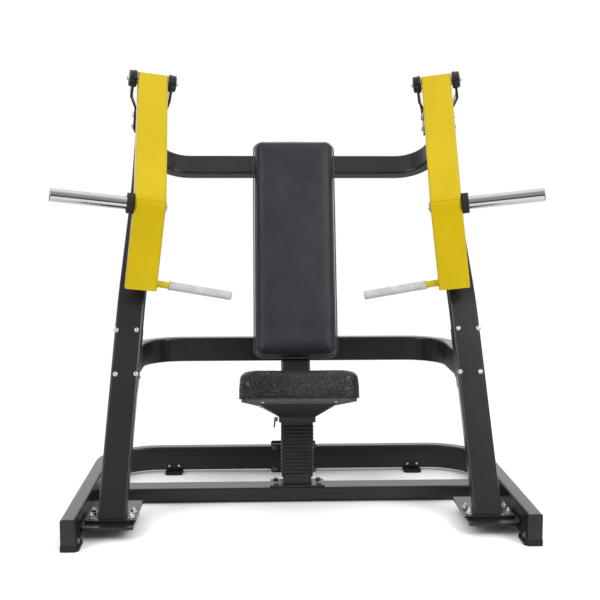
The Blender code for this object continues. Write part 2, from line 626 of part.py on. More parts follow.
# ---------------------------------------------------------------- back pad
def back_support():
    lean = Vector((0, sin(PAD_RECLINE), cos(PAD_RECLINE)))
    rearward = Vector((0, cos(PAD_RECLINE), -sin(PAD_RECLINE)))
    x_axis = Vector((1, 0, 0))
    low_edge = at(0, *PAD_BOTTOM)

    def along_pad(up, behind):
        return low_edge + lean * up + rearward * behind

    outline = rounded_outline(PAD_WIDTH, PAD_LENGTH, PAD_CORNER, 5)
    small_size = (PAD_WIDTH - 2 * PAD_EDGE, PAD_LENGTH - 2 * PAD_EDGE)
    small = rounded_outline(*small_size, PAD_CORNER - PAD_EDGE, 5)
    layers = [(outline, 0), (outline, PAD_THICKNESS - PAD_EDGE), (small, PAD_THICKNESS)]
    pad = basis(along_pad(PAD_LENGTH / 2, PAD_THICKNESS), -x_axis, lean, -rearward)
    publish("back_pad", stack_bmesh(layers), LEATHER, pad)
    board = basis(along_pad(PAD_LENGTH / 2, PAD_THICKNESS + GAP + BOARD / 2), x_axis, lean, rearward)
    board_size = (PAD_WIDTH - PAD_BOARD_INSET[0], PAD_LENGTH - PAD_BOARD_INSET[1], BOARD)
    slab("back_pad_board", board_size, board, PLYWOOD, PAD_BOARD_CORNER)

    plate_start = PAD_THICKNESS + BOARD + 2 * GAP
    for place, up in PAD_BRACKETS_UP:
        plate = basis(along_pad(up, plate_start + PLATE / 2), x_axis, lean, rearward)
        slab("pad_bracket_" + place, (*PAD_BRACKET, PLATE), plate, BLACK_COAT)

    column_behind = plate_start + PLATE + GAP + HEAVY_TUBE[1] / 2
    up_normal = Vector((0, sin(TOP_TILT), cos(TOP_TILT)))
    under_top = at(0, TOP_DEPTH, TOP_HEIGHT) - up_normal * (TOP_TUBE[0] / 2 + GAP)
    flange_face = under_top - up_normal * (PLATE + GAP)
    knee = along_pad(-COLUMN_KNEE_DROP, column_behind)
    top = slide_to_plane(knee, lean, (flange_face, up_normal))
    rear_face = REAR_DEPTH - FRAME_TUBE[1] / 2 - GAP - PLATE - GAP
    foot_height = FOOT_HEIGHT + FRAME_TUBE[0] / 2
    reach = rear_face - knee.y - ORIGIN_DEPTH
    foot = at(0, rear_face, foot_height)
    knee_low = at(0, rear_face - reach * COLUMN_FOOT_SHARE, foot_height + COLUMN_FOOT_RISE)
    foot_cut = (foot, Vector((0, 1, 0)))
    route = [foot, knee_low, knee, top]
    stations = filleted_path(route, COLUMN_BEND)
    top_cut = (flange_face, up_normal)
    bm = tube_bmesh(stations, x_axis, HEAVY_TUBE, WALL, start_cut=foot_cut, end_cut=top_cut)
    publish("pad_column", bm, BLACK_COAT)

    run_back = up_normal.cross(x_axis)
    flange_spot = top + up_normal * (GAP + PLATE / 2) + run_back * COLUMN_FLANGE_BACK
    flange = basis(flange_spot, x_axis, run_back, up_normal)
    slab("column_top_flange", (*COLUMN_FLANGE, PLATE), flange, BLACK_COAT)
    clamp_offset = FRAME_TUBE[1] / 2 + GAP + PLATE / 2
    for place, direction in (("front", -1), ("rear", 1)):
        spot = at(0, REAR_DEPTH + direction * clamp_offset, foot_height)
        turned = Matrix.Translation(spot) @ Matrix.Rotation(pi / 2, 4, "X")
        slab("column_clamp_" + place, (*CLAMP, PLATE), turned, BLACK_COAT)

    level = knee + lean * ((MID_HEIGHT - knee.z) / lean.z)
    column_plane = (level + rearward * (HEAVY_TUBE[1] / 2 + GAP), rearward)
    mid_face = at(0, MID_DEPTH - FRAME_TUBE[1] / 2 - GAP, MID_HEIGHT)
    start = slide_to_plane(mid_face, Vector((0, 1, 0)), column_plane)
    run = filleted_path([start, mid_face], 0)
    bm = tube_bmesh(run, x_axis, BRACE_TUBE, WALL, start_cut=column_plane)
    publish("column_brace", bm, BLACK_COAT)


# ---------------------------------------------------------------- seat
def seat():
    up = Vector((0, 0, 1))
    x_axis = Vector((1, 0, 0))
    tube_top = FOOT_HEIGHT + FRAME_TUBE[1]
    post_centre = at(0, CROSS_DEPTH, 0)
    flange = Matrix.Translation(at(0, CROSS_DEPTH, tube_top + GAP + PLATE / 2))
    slab("seat_post_flange", (*POST_FLANGE, PLATE), flange, BLACK_COAT)
    low = tube_top + PLATE + 2 * GAP
    run = filleted_path([post_centre + up * low, post_centre + up * POST_TOP], 0)
    publish("seat_post_outer", tube_bmesh(run, x_axis, POST_OUTER, WALL), BLACK_COAT)
    ends = [post_centre + up * BELLOWS_SPAN[0], post_centre + up * (BELLOWS_SPAN[1] - GAP)]
    sleeve = tube_bmesh(filleted_path(ends, 0), x_axis, BELLOWS, BELLOWS_WALL, BELLOWS_CORNER)
    publish("post_bellows", sleeve, RUBBER)

    slider = bpy.data.objects.new("seat_slide", None)
    bpy.context.scene.collection.objects.link(slider)
    slider.location = at(0, CROSS_DEPTH, BELLOWS_SPAN[1])
    base = slider.location

    tilt_up = Vector((0, sin(SEAT_TILT), cos(SEAT_TILT)))
    tilt_back = Vector((0, cos(SEAT_TILT), -sin(SEAT_TILT)))
    front = at(0, *SEAT_FRONT)
    plate_plane = (front - tilt_up * (BOARD + 2 * GAP), tilt_up)

    under = slide_to_plane(post_centre + up, up, plate_plane)
    levels = ((BRACKET_NECK, 0), (BRACKET_NECK, BRACKET_NECK_HEIGHT), (BRACKET_MOUTH, None))
    rings = []
    for inset in (0, BRACKET_WALL):
        for size, height in levels:
            size = (size[0] - 2 * inset, size[1] - 2 * inset)
            outline = rounded_outline(*size, BRACKET_CORNER - inset)
            ring = [Vector((u, v, height or 0)) for u, v in outline]
            if height is None:
                ring = [slide_to_plane(under + spot, up, plate_plane) - base for spot in ring]
            rings.append(ring)
    bm = bmesh.new()
    ordered = rings[:3] + rings[5:2:-1]
    made = [[bm.verts.new(p) for p in ring] for ring in ordered]
    for lower, upper in zip(made, made[1:] + made[:1]):
        loop_faces(bm, lower, upper)
    publish("seat_bracket", bm, BLACK_COAT, parent=slider)

    top = BELLOWS_SPAN[1] + INNER_TOP_RISE
    run = filleted_path([post_centre + up * INNER_BOTTOM - base, post_centre + up * top - base], 0)
    publish("seat_post_inner", tube_bmesh(run, x_axis, POST_INNER, WALL), CHROME, parent=slider)

    def on_seat(back, above):
        spot = front + tilt_back * back + tilt_up * above - base
        return basis(spot, x_axis, tilt_back, tilt_up)

    front_half = SEAT_FRONT_WIDTH / 2
    rear_half = SEAT_REAR_WIDTH / 2

    def outline(inset, corner):
        length = SEAT_LENGTH - 2 * inset
        points = seat_outline(front_half - inset, rear_half - inset, length, corner)
        return [(x, y + inset) for x, y in points]

    cushion = outline(0, SEAT_CORNER)
    inner = outline(SEAT_EDGE, SEAT_CORNER - SEAT_EDGE / 2)
    layers = [(cushion, 0), (cushion, SEAT_THICKNESS - SEAT_EDGE), (inner, SEAT_THICKNESS)]
    publish("seat_cushion", stack_bmesh(layers), LEATHER, on_seat(0, 0), slider)
    board = outline(SEAT_BOARD_INSET, SEAT_CORNER - SEAT_BOARD_INSET / 2)
    board = prism_bmesh(board, -GAP - BOARD, -GAP)
    publish("seat_board", board, PLYWOOD, on_seat(0, 0), slider)

    lever_pivot = at(-BRACKET_NECK[0] / 2, CROSS_DEPTH + LEVER_AT[0], BELLOWS_SPAN[1] + LEVER_AT[1])
    hub = bpy.data.objects.new("lever_axis", None)
    bpy.context.scene.collection.objects.link(hub)
    hub.location = lever_pivot - base
    hub.parent = slider
    bm = prism_bmesh(LEVER_OUTLINE, -LEVER_WIDTH / 2, LEVER_WIDTH / 2)
    standing = Matrix(((1, 0, 0, 0), (0, 0, 1, 0), (0, 1, 0, 0), (0, 0, 0, 1)))
    publish("seat_lever", bm, CHROME, standing, hub)


def seat_outline(front_half, rear_half, length, radius):
    """Tapered seat outline with round corners; the front edge lies on y = 0."""
    corners = ((front_half, 0, -90), (rear_half, length, 0))
    corners += ((-rear_half, length, 90), (-front_half, 0, 180))
    points = []
    for x, y, start in corners:
        inward = Vector((-radius if x > 0 else radius, radius if y == 0 else -radius))
        for i in range(6):
            angle = radians(start + 90 * i / 5)
            points.append((x + inward.x + radius * cos(angle), y + inward.y + radius * sin(angle)))
    return points


floor_frame()
uprights()
crossbar("mid_crossbar", MID_LEG_X, MID_DEPTH, MID_HEIGHT, MID_BEND, 0.0,
         FRAME_TUBE, MID_FLANGE_HEIGHT, MID_FLANGE)
crossbar("top_crossbar", TOP_LEG_X, TOP_DEPTH, TOP_HEIGHT, TOP_BEND, TOP_TILT,
         TOP_TUBE, TOP_FLANGE_HEIGHT, TOP_FLANGE)
for arm_name, arm_side in SIDES:
    pivot_ears(arm_name, arm_side)
    press_arm(arm_name, arm_side)
    arm_stop(arm_name, arm_side)
back_support()
seat()
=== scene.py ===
"""Looks for the plate-loaded chest press: coatings, upholstery, fasteners, floor, lights and camera."""
import json
from math import ceil, cos, pi, radians, sin

import bmesh
import bpy
from mathutils import Matrix, Vector


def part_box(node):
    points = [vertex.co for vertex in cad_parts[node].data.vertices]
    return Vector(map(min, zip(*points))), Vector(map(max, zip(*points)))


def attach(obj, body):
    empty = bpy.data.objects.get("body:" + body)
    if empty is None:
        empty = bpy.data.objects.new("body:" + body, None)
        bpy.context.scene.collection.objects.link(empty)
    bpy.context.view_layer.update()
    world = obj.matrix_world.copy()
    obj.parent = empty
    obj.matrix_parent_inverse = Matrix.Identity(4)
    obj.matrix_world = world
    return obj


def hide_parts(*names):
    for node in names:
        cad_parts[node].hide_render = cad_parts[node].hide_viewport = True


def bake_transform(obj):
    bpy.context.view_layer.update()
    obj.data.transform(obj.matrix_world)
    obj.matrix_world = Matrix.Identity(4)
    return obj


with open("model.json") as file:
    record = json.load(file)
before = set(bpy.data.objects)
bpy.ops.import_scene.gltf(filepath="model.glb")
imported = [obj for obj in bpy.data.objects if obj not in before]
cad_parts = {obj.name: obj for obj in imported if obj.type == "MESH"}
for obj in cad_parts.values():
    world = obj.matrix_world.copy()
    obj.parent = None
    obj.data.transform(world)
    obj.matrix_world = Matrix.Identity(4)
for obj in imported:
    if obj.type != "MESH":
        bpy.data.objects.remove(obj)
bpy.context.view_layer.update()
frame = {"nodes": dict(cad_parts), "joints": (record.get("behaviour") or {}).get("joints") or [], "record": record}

NODES = frame["nodes"]

# ---------------------------------------------------------------- dimensions (metres)
SIDES = (("left", -1), ("right", 1))
GAP = 0.0003                 # between touching neighbours
PLATE = 0.008
TUBE_DEPTH = 0.050           # frame tube, short side
TUBE_WIDTH = 0.100
CORNER = 0.007

BEVEL = 0.0016               # rounding that the shader gives to metal edges
BEAD = 0.0032                # weld bead radius
BEAD_STEP = 0.0026
BEAD_SIDES = 8
THREAD_PITCH = 0.0015        # of a bolt's free end
FASTENER_SPIN = 0.9          # turn in radians from one fastener of a kind to the next

ARM_WIDTH = 0.115
ARM_BEND = (-0.352, -0.472)  # arm centre line in its own plane: back, up
ARM_FOOT = (-0.318, -0.792)
HORN_DROP = 0.012
COLLAR_RADIUS = 0.0375
HANDLE_UP = -0.768
ROD_RADIUS = 0.0125
GRIP_RADIUS = 0.016
GRIP_END = 0.0035            # rounding of the closed end
EAR_OFFSET = 0.075           # ear plates either side of the arm
EAR_THICKNESS = 0.010
EAR_LEG_TOP = 1.53           # the legs that clasp the upright are below this height
BOSS_RADIUS = 0.032
BOSS_WIDTH = 0.027
SHAFT_RADIUS = 0.0125
SPACER_RADIUS = 0.0205
# Pivot cap: height above the boss, and distance inside the boss's edge.
CAP_PROFILE = ((0.0002, 0.001), (0.0020, 0.001), (0.0034, 0.004), (0.0042, 0.012), (0.0044, 0.022))
CAP_SCREW_AT = 0.0043

PAD_RECLINE = radians(18.3)
PAD_SIZE = (0.334, 0.910, 0.060)
PAD_CORNER = 0.036
PAD_EDGE = 0.024             # rounding of the face's edge
PAD_INSET = 0.003            # room left for the swelling
PAD_SWELL = 0.006
BOARD = 0.012
PIPING_RADIUS = 0.0025
PIPING_HEIGHT = 0.0026       # above the back of the pad
PIPING_INSET = 0.0010
SEAM_HEIGHT = 0.0105
SEAM_PROUD = 0.0012
SEAT_TILT = radians(15)
SEAT_LENGTH = 0.372
SEAT_WIDTHS = (0.450, 0.330)  # front, rear
SEAT_THICKNESS = 0.108
SEAT_CORNER = 0.055
SEAT_EDGE = 0.022
SEAT_INSET = 0.003
SEAT_SWELL = 0.008
SEAT_SPARE = 0.004           # left free above the crown
SEAT_SCREWS = ((-0.134, -0.135), (0.134, -0.135), (-0.100, 0.120), (0.100, 0.120))
HEM_RADIUS = 0.0026
HEM_HEIGHT = 0.0022
HEM_INSET = 0.0045
VOXEL = 0.005
PRESSURE = 4.0
SWELL_FRAMES = 20
SETTLE_ROUNDS = 24
STITCH_PITCH = 0.0062
STITCH_SHARE = 0.36          # half a stitch's length, as a share of the pitch
THREAD_RADIUS = 0.0007
# Along the stitch, height and thickness, in half lengths and thread radii.
STITCH_PROFILE = ((-1.0, -0.4, 0.4), (-0.6, 0.35, 1.0), (0.6, 0.35, 1.0), (1.0, -0.4, 0.4))

BELLOWS = (0.126, 0.076)
BELLOWS_CORNER = 0.012
PLEAT_DEPTH = 0.0052
PLEATS = 13
CUFF = 0.012

# Bolt patterns, as positions across and up (or along) the face that they stand on.
FOOT_BOLTS = ((-0.070, 0.070), (-0.030, 0.034))
FOOT_CLAMP = 0.0206          # through the foot plate and the shelf, with a gap at each
POST_BOLTS = ((-0.084, 0.084), (-0.032, 0.032))
MID_BOLTS = ((-0.037, 0.037), (0.098, -0.068))
TOP_BOLTS = ((-0.037, 0.037), (-0.038, 0.038))
CLAMP_BOLTS = ((-0.082, 0.082), (-0.047, 0.047))
COLUMN_TOP_BOLTS = (-0.082, 0.082)
COLUMN_TOP_NUT = (-0.004, -(PLATE + 2 * GAP + 0.090))
BRACKET_BOLTS = (-0.095, 0.095)
EAR_BOLTS = (-0.022, 0.022)
RAIL_BOLT = (0.0034, 0.022, 0.020)   # off the rail's side, back from its end, up from its foot

PLUG_THICKNESS = 0.0035
TAB_SIZE = (0.060, 0.030)    # upright plate over each rear foot
TAB_THICKNESS = 0.0030
TAB_SCREWS = (-0.020, 0.020)
SHOE_WALL = 0.0018           # rubber shoe on a rail's end
SHOE_NOSE = 0.0036           # room for the plug between the rail's end and the shoe
SHOE_RISE = 0.010
SHOE_DROP = 0.0110
SHOE_LENGTH = 0.096
SHOE_CORNER = 0.006

UP = Vector((0, 0, 1))
BACK = Vector((0, 1, 0))
RIGHT = Vector((1, 0, 0))


# ---------------------------------------------------------------- shader nodes
def feed(tree, socket, value):
    """Link a socket into an input, or set the input's value."""
    if isinstance(value, bpy.types.NodeSocket):
        tree.links.new(value, socket)
    else:
        socket.default_value = value


def add(tree, kind, inputs=None, **settings):
    made = tree.nodes.new(kind)
    for key, value in settings.items():
        setattr(made, key, value)
    for key, value in (inputs or {}).items():
        feed(tree, made.inputs[key], value)
    return made


def surface(name, metallic, specular):
    """A Principled material with its tree, shader and object coordinates."""
    mat = bpy.data.materials.new(name)
    mat.use_nodes = True
    tree = mat.node_tree
    shader = tree.nodes["Principled BSDF"]
    shader.inputs["Metallic"].default_value = metallic
    shader.inputs["Specular IOR Level"].default_value = specular
    coords = add(tree, "ShaderNodeTexCoord").outputs["Object"]
    return mat, tree, shader, coords


def noise(tree, coords, scale, detail, stretch=None):
    if stretch is not None:
        coords = add(tree, "ShaderNodeMapping", {"Vector": coords, "Scale": stretch}).outputs["Vector"]
    made = add(tree, "ShaderNodeTexNoise", {"Vector": coords, "Scale": scale, "Detail": detail})
    return made.outputs["Fac"]


def remap(tree, value, low, high, to_low, to_high):
    inputs = {"Value": value, "From Min": low, "From Max": high, "To Min": to_low, "To Max": to_high}
    return add(tree, "ShaderNodeMapRange", inputs).outputs["Result"]


def times(tree, first, second):
    return add(tree, "ShaderNodeMath", {0: first, 1: second}, operation="MULTIPLY").outputs[0]


def mix(tree, factor, first, second):
    made = add(tree, "ShaderNodeMix", data_type="RGBA")
    feed(tree, made.inputs[0], factor)
    feed(tree, made.inputs[6], first)
    feed(tree, made.inputs[7], second)
    return made.outputs[2]


def bump(tree, height, strength, distance, normal=None):
    inputs = {"Height": height, "Strength": strength, "Distance": distance}
    made = add(tree, "ShaderNodeBump", inputs)
    if normal is not None:
        tree.links.new(normal, made.inputs["Normal"])
    return made.outputs["Normal"]


def finish(tree, shader, tone, gloss, normal):
    """Give the shader its base colour, roughness and normal."""
    for name, value in (("Base Color", tone), ("Roughness", gloss), ("Normal", normal)):
        feed(tree, shader.inputs[name], value)


def rgb(red, green, blue):
    return (red, green, blue, 1.0)


def rounded_normal(tree, radius):
    return add(tree, "ShaderNodeBevel", {"Radius": radius}, samples=4).outputs["Normal"]


def edge_mask(tree, rounded):
    """1 on the edges, where the rounded normal leaves the face's own, and 0 on the faces."""
    plain = add(tree, "ShaderNodeNewGeometry").outputs["Normal"]
    lined_up = add(tree, "ShaderNodeVectorMath", {0: rounded, 1: plain}, operation="DOT_PRODUCT")
    return remap(tree, lined_up.outputs["Value"], 0.995, 0.90, 0.0, 1.0)


# ---------------------------------------------------------------- materials
def powder_coat(name, dark, light, worn, roughness, specular, wear):
    """Sprayed coating: faint orange peel, slow drift of tone, and edges rubbed paler here and there."""
    mat, tree, shader, coords = surface(name, 0.0, specular)
    rounded = rounded_normal(tree, BEVEL)
    edge = edge_mask(tree, rounded)
    drift = noise(tree, coords, 4.0, 5.0)
    scuff = noise(tree, coords, 46.0, 8.0)
    peel = noise(tree, coords, 420.0, 2.0)
    grain = noise(tree, coords, 1500.0, 2.0)
    tone = mix(tree, remap(tree, drift, 0.3, 0.7, 0.0, 1.0), dark, light)
    rubbed = times(tree, times(tree, edge, remap(tree, scuff, 0.42, 0.62, 0.0, 1.0)), wear)
    gloss = remap(tree, scuff, 0.3, 0.7, roughness - 0.015, roughness + 0.035)
    normal = bump(tree, grain, 0.05, 0.0002, bump(tree, peel, 0.05, 0.0003, rounded))
    finish(tree, shader, mix(tree, rubbed, tone, worn), gloss, normal)
    return mat


def leather(name, dark, light, roughness, specular, grain_scale, crease, depth):
    """Leatherette: pebbled grain, winding creases that fade from left to right, uneven tone and polish, and
    painted shade in the grain's grooves and along the creases.
    """
    mat, tree, shader, coords = surface(name, 0.0, specular)
    warp = add(tree, "ShaderNodeTexNoise", {"Vector": coords, "Scale": 60.0, "Detail": 3.0})
    scaled = add(tree, "ShaderNodeVectorMath", {0: warp.outputs["Color"], "Scale": 0.006}, operation="SCALE")
    warped = add(tree, "ShaderNodeVectorMath", {0: coords, 1: scaled.outputs[0]}, operation="ADD").outputs[0]
    cells = add(tree, "ShaderNodeTexVoronoi", {"Vector": warped, "Scale": grain_scale},
                feature="DISTANCE_TO_EDGE")
    pebble = remap(tree, cells.outputs["Distance"], 0.0, 0.22, 0.0, 1.0)
    fine = noise(tree, coords, 1600.0, 2.0)
    drift = noise(tree, coords, 9.0, 5.0)
    fold = noise(tree, coords, 50.0, 1.5, (1.0, 0.8, 1.7))
    offset = add(tree, "ShaderNodeMath", {0: fold, 1: 0.5}, operation="SUBTRACT").outputs[0]
    distance = add(tree, "ShaderNodeMath", {0: offset}, operation="ABSOLUTE").outputs[0]
    creased = remap(tree, distance, 0.0, 0.12, 0.0, 1.0)
    tone = mix(tree, remap(tree, drift, 0.32, 0.68, 0.0, 1.0), dark, light)
    # Painted shade: the tone is darkened in the grooves between the grain's pebbles and along the crease lines.
    groove_shade = remap(tree, pebble, 0.0, 0.6, 0.70, 1.0)
    crease_and_groove_shade = times(tree, groove_shade, remap(tree, creased, 0.0, 1.0, 1.0 - crease, 1.0))
    shaded = add(tree, "ShaderNodeVectorMath", {0: tone, "Scale": crease_and_groove_shade}, operation="SCALE").outputs[0]
    gloss = remap(tree, drift, 0.3, 0.7, roughness - 0.06, roughness + 0.08)
    across = add(tree, "ShaderNodeSeparateXYZ", {"Vector": coords}).outputs["X"]
    gathered = remap(tree, across, -0.12, 0.10, crease, crease * 0.3)
    normal = bump(tree, pebble, 0.30, 0.0004, bump(tree, creased, gathered, depth))
    finish(tree, shader, shaded, gloss, bump(tree, fine, 0.12, 0.0002, normal))
    return mat


def plated(name, colour, stain, roughness, streak):
    """Bare or plated metal: fine streaks, faint smudges, rounded edges."""
    mat, tree, shader, coords = surface(name, 1.0, 0.5)
    rounded = rounded_normal(tree, BEVEL / 2)
    smudge = noise(tree, coords, 14.0, 6.0)
    lines = noise(tree, coords, 60.0, 6.0, streak)
    tone = mix(tree, remap(tree, smudge, 0.35, 0.75, 0.0, 0.6), colour, stain)
    gloss = remap(tree, smudge, 0.35, 0.7, roughness, roughness * 1.9)
    finish(tree, shader, tone, gloss, bump(tree, lines, 0.05, 0.0002, rounded))
    return mat


def moulded(name, dark, light, roughness, specular, grain_scale, depth):
    """Rubber or plastic: moulded speckle and a dusty bloom."""
    mat, tree, shader, coords = surface(name, 0.0, specular)
    rounded = rounded_normal(tree, BEVEL)
    bloom = noise(tree, coords, 24.0, 6.0)
    speckle = noise(tree, coords, grain_scale, 3.0)
    tone = mix(tree, remap(tree, bloom, 0.35, 0.7, 0.0, 1.0), dark, light)
    gloss = remap(tree, bloom, 0.3, 0.7, roughness - 0.05, roughness + 0.08)
    finish(tree, shader, tone, gloss, bump(tree, speckle, 0.35, depth, rounded))
    return mat


def backing_cloth(name):
    """Dark dust cloth stapled over plywood: a fine over-and-under weave with lint."""
    mat, tree, shader, coords = surface(name, 0.0, 0.2)
    threads = {"Vector": coords, "Scale": 260.0, "Distortion": 0.6}
    warp = add(tree, "ShaderNodeTexWave", threads, bands_direction="X")
    weft = add(tree, "ShaderNodeTexWave", threads, bands_direction="Z")
    weave = times(tree, warp.outputs["Fac"], weft.outputs["Fac"])
    lint = noise(tree, coords, 70.0, 6.0)
    tone = mix(tree, weave, rgb(0.042, 0.041, 0.036), rgb(0.105, 0.102, 0.090))
    tone = mix(tree, remap(tree, lint, 0.45, 0.75, 0.0, 0.5), tone, rgb(0.17, 0.166, 0.148))
    finish(tree, shader, tone, 0.85, bump(tree, weave, 0.4, 0.0005))
    return mat


def stage_floor(name):
    mat, tree, shader, coords = surface(name, 0.0, 0.3)
    drift = noise(tree, coords, 0.8, 3.0)
    tone = mix(tree, drift, rgb(0.93, 0.93, 0.93), rgb(0.96, 0.96, 0.96))
    tree.links.new(tone, shader.inputs["Base Color"])
    shader.inputs["Roughness"].default_value = 0.7
    return mat


BLACK_COAT = powder_coat(
    "black_powder_coat", rgb(0.0075, 0.0075, 0.0090), rgb(0.0115, 0.0115, 0.0135), rgb(0.10, 0.10, 0.105),
    roughness=0.29, specular=0.30, wear=0.35)
YELLOW_COAT = powder_coat(
    "yellow_powder_coat", rgb(0.455, 0.328, 0.002), rgb(0.510, 0.370, 0.003), rgb(0.72, 0.58, 0.10),
    roughness=0.34, specular=0.16, wear=0.5)
PAD_LEATHER = leather(
    "pad_leatherette", rgb(0.0125, 0.0128, 0.0190), rgb(0.0200, 0.0205, 0.0275),
    roughness=0.40, specular=0.28, grain_scale=520.0, crease=0.04, depth=0.0016)
SEAT_LEATHER = leather(
    "seat_leatherette", rgb(0.0055, 0.0060, 0.0095), rgb(0.0105, 0.0110, 0.0165),
    roughness=0.28, specular=0.37, grain_scale=420.0, crease=1.00, depth=0.0054)
# Painted reflection: the piping's pale grey-olive tone stands for the floor's reflection along the pad's lower
# edge.
PIPING = leather(
    "piping_painted_reflection", rgb(0.100, 0.100, 0.088), rgb(0.150, 0.150, 0.132),
    roughness=0.50, specular=0.20, grain_scale=700.0, crease=0.05, depth=0.001)
THREAD = moulded(
    "stitch_thread", rgb(0.022, 0.022, 0.025), rgb(0.045, 0.045, 0.049),
    roughness=0.60, specular=0.3, grain_scale=900.0, depth=0.0002)
CHROME = plated(
    "bright_chrome", rgb(0.43, 0.44, 0.45), rgb(0.36, 0.365, 0.37), roughness=0.08, streak=(0.06, 1.0, 1.0))
ZINC = plated(
    "zinc_steel", rgb(0.56, 0.56, 0.57), rgb(0.36, 0.36, 0.37), roughness=0.22, streak=(1.0, 1.0, 0.3))
STEEL = plated(
    "ground_steel", rgb(0.46, 0.46, 0.47), rgb(0.30, 0.30, 0.31), roughness=0.30, streak=(1.0, 0.1, 0.1))
BLACK_OXIDE = plated(
    "black_oxide", rgb(0.13, 0.13, 0.135), rgb(0.06, 0.06, 0.06), roughness=0.32, streak=(1.0, 1.0, 0.3))
RUBBER = moulded(
    "black_rubber", rgb(0.0060, 0.0060, 0.0060), rgb(0.013, 0.013, 0.013),
    roughness=0.60, specular=0.25, grain_scale=700.0, depth=0.0003)
PLEATED = moulded(
    "bellows_rubber", rgb(0.0060, 0.0060, 0.0065), rgb(0.015, 0.015, 0.016),
    roughness=0.56, specular=0.28, grain_scale=800.0, depth=0.0002)
GRIP = moulded(
    "grey_grip_rubber", rgb(0.38, 0.385, 0.368), rgb(0.47, 0.475, 0.452),
    roughness=0.56, specular=0.35, grain_scale=620.0, depth=0.0005)
PLASTIC = moulded(
    "black_plastic", rgb(0.007, 0.007, 0.008), rgb(0.013, 0.013, 0.014),
    roughness=0.48, specular=0.35, grain_scale=1100.0, depth=0.0002)
CLOTH = backing_cloth("board_backing")

SLOT_MATERIALS = {
    "black_powder_coat": BLACK_COAT,
    "yellow_powder_coat": YELLOW_COAT,
    "black_leatherette": PAD_LEATHER,
    "chrome": CHROME,
    "black_rubber": RUBBER,
    "grey_grip": GRIP,
    "pad_board": CLOTH,
    "bearing_steel": STEEL,
    "black_plastic": PLASTIC,
}
for entry in frame["record"]["subparts"]:
    carried = NODES[entry["node"]]
    carried.data.materials.clear()
    carried.data.materials.append(SLOT_MATERIALS[entry["material_slot"]])
NODES["seat_lever"].data.materials[0] = BLACK_OXIDE


# ---------------------------------------------------------------- mesh helpers
def basis(origin, x_axis, y_axis, z_axis):
    axes = Matrix((x_axis, y_axis, z_axis)).transposed().to_4x4()
    return Matrix.Translation(origin) @ axes


def sideways(origin, sign):
    """Frame whose Z looks to the right (sign 1) or to the left (sign -1), with Y up."""
    return basis(origin, UP.cross(sign * RIGHT), UP, sign * RIGHT)


def ring_faces(bm, lower, upper):
    count = len(lower)
    for i in range(count):
        j = (i + 1) % count
        bm.faces.new((lower[i], lower[j], upper[j], upper[i]))


def to_mesh(name, bm, material, sharp=35):
    """Finish a mesh with smooth shading, except across edges sharper than an angle in degrees."""
    bmesh.ops.recalc_face_normals(bm, faces=bm.faces)
    mesh = bpy.data.meshes.new(name)
    bm.to_mesh(mesh)
    bm.free()
    mesh.shade_smooth()
    mesh.set_sharp_from_angle(angle=radians(sharp))
    mesh.materials.append(material)
    return mesh


def piece(name, mesh, body, matrix=None):
    """Show a mesh as a named piece that rides on a body."""
    obj = bpy.data.objects.new(name, mesh)
    bpy.context.scene.collection.objects.link(obj)
    if matrix is not None:
        obj.matrix_world = matrix
    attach(obj, body)
    return obj


def rounded_outline(width, height, radius, steps=4):
    points = []
    for sx, sy, start in ((1, 1, 0), (-1, 1, 90), (-1, -1, 180), (1, -1, 270)):
        cx = sx * (width / 2 - radius)
        cy = sy * (height / 2 - radius)
        for i in range(steps + 1):
            angle = radians(start + 90 * i / steps)
            points.append((cx + radius * cos(angle), cy + radius * sin(angle)))
    return points


def lofted(layers, cap_ends=True):
    """Skin through outlines at given heights along local Z."""
    bm = bmesh.new()
    rings = [[bm.verts.new((x, y, z)) for x, y in outline] for outline, z in layers]
    for lower, upper in zip(rings, rings[1:]):
        ring_faces(bm, lower, upper)
    if cap_ends:
        bm.faces.new(rings[0][::-1])
        bm.faces.new(rings[-1])
    return bm


def ring_outline(radius, six_sided, count=24):
    """Circle about the origin, or a hexagon of that corner radius, with matching points."""
    points = []
    for i in range(count):
        angle = 2 * pi * i / count
        reach = radius
        if six_sided:
            within = angle % (pi / 3) - pi / 6
            reach = radius * cos(pi / 6) / cos(within)
        points.append((reach * cos(angle), reach * sin(angle)))
    return points


def turned(profile):
    """Solid of revolution about local Z from (height, radius, six_sided) steps."""
    return lofted([(ring_outline(radius, six), height) for height, radius, six in profile])


def tube_along(points, radius_at, sides, closed):
    """Round skin of varying radius that follows a line of points."""
    bm = bmesh.new()
    rings = []
    count = len(points)
    normal = None
    for i, spot in enumerate(points):
        ahead = points[(i + 1) % count] if closed or i < count - 1 else spot
        behind = points[i - 1] if closed or i > 0 else spot
        along = (ahead - behind).normalized()
        if normal is None:
            normal = along.orthogonal().normalized()
        normal = (normal - along * normal.dot(along)).normalized()
        other = along.cross(normal)
        ring = []
        for k in range(sides):
            angle = 2 * pi * k / sides
            ring.append(bm.verts.new(spot + (normal * cos(angle) + other * sin(angle)) * radius_at(i)))
        rings.append(ring)
    for lower, upper in zip(rings, rings[1:]):
        ring_faces(bm, lower, upper)
    if closed:
        shift = min(range(sides), key=lambda s: (rings[-1][0].co - rings[0][s].co).length)
        ring_faces(bm, rings[-1], rings[0][shift:] + rings[0][:shift])
    else:
        bm.faces.new(rings[0][::-1])
        bm.faces.new(rings[-1])
    return bm


def resampled(points, step, closed):
    """Evenly spaced points along a line of points."""
    line = [Vector(p) for p in points]
    if closed:
        line.append(line[0])
    lengths = [(b - a).length for a, b in zip(line, line[1:])]
    total = sum(lengths)
    count = max(4, ceil(total / step))
    spots = []
    leg = 0
    passed = 0.0
    for i in range(count if closed else count + 1):
        want = total * i / count
        while leg < len(lengths) - 1 and passed + lengths[leg] < want:
            passed += lengths[leg]
            leg += 1
        share = (want - passed) / lengths[leg] if lengths[leg] else 0.0
        spots.append(line[leg].lerp(line[leg + 1], min(1.0, share)))
    return spots


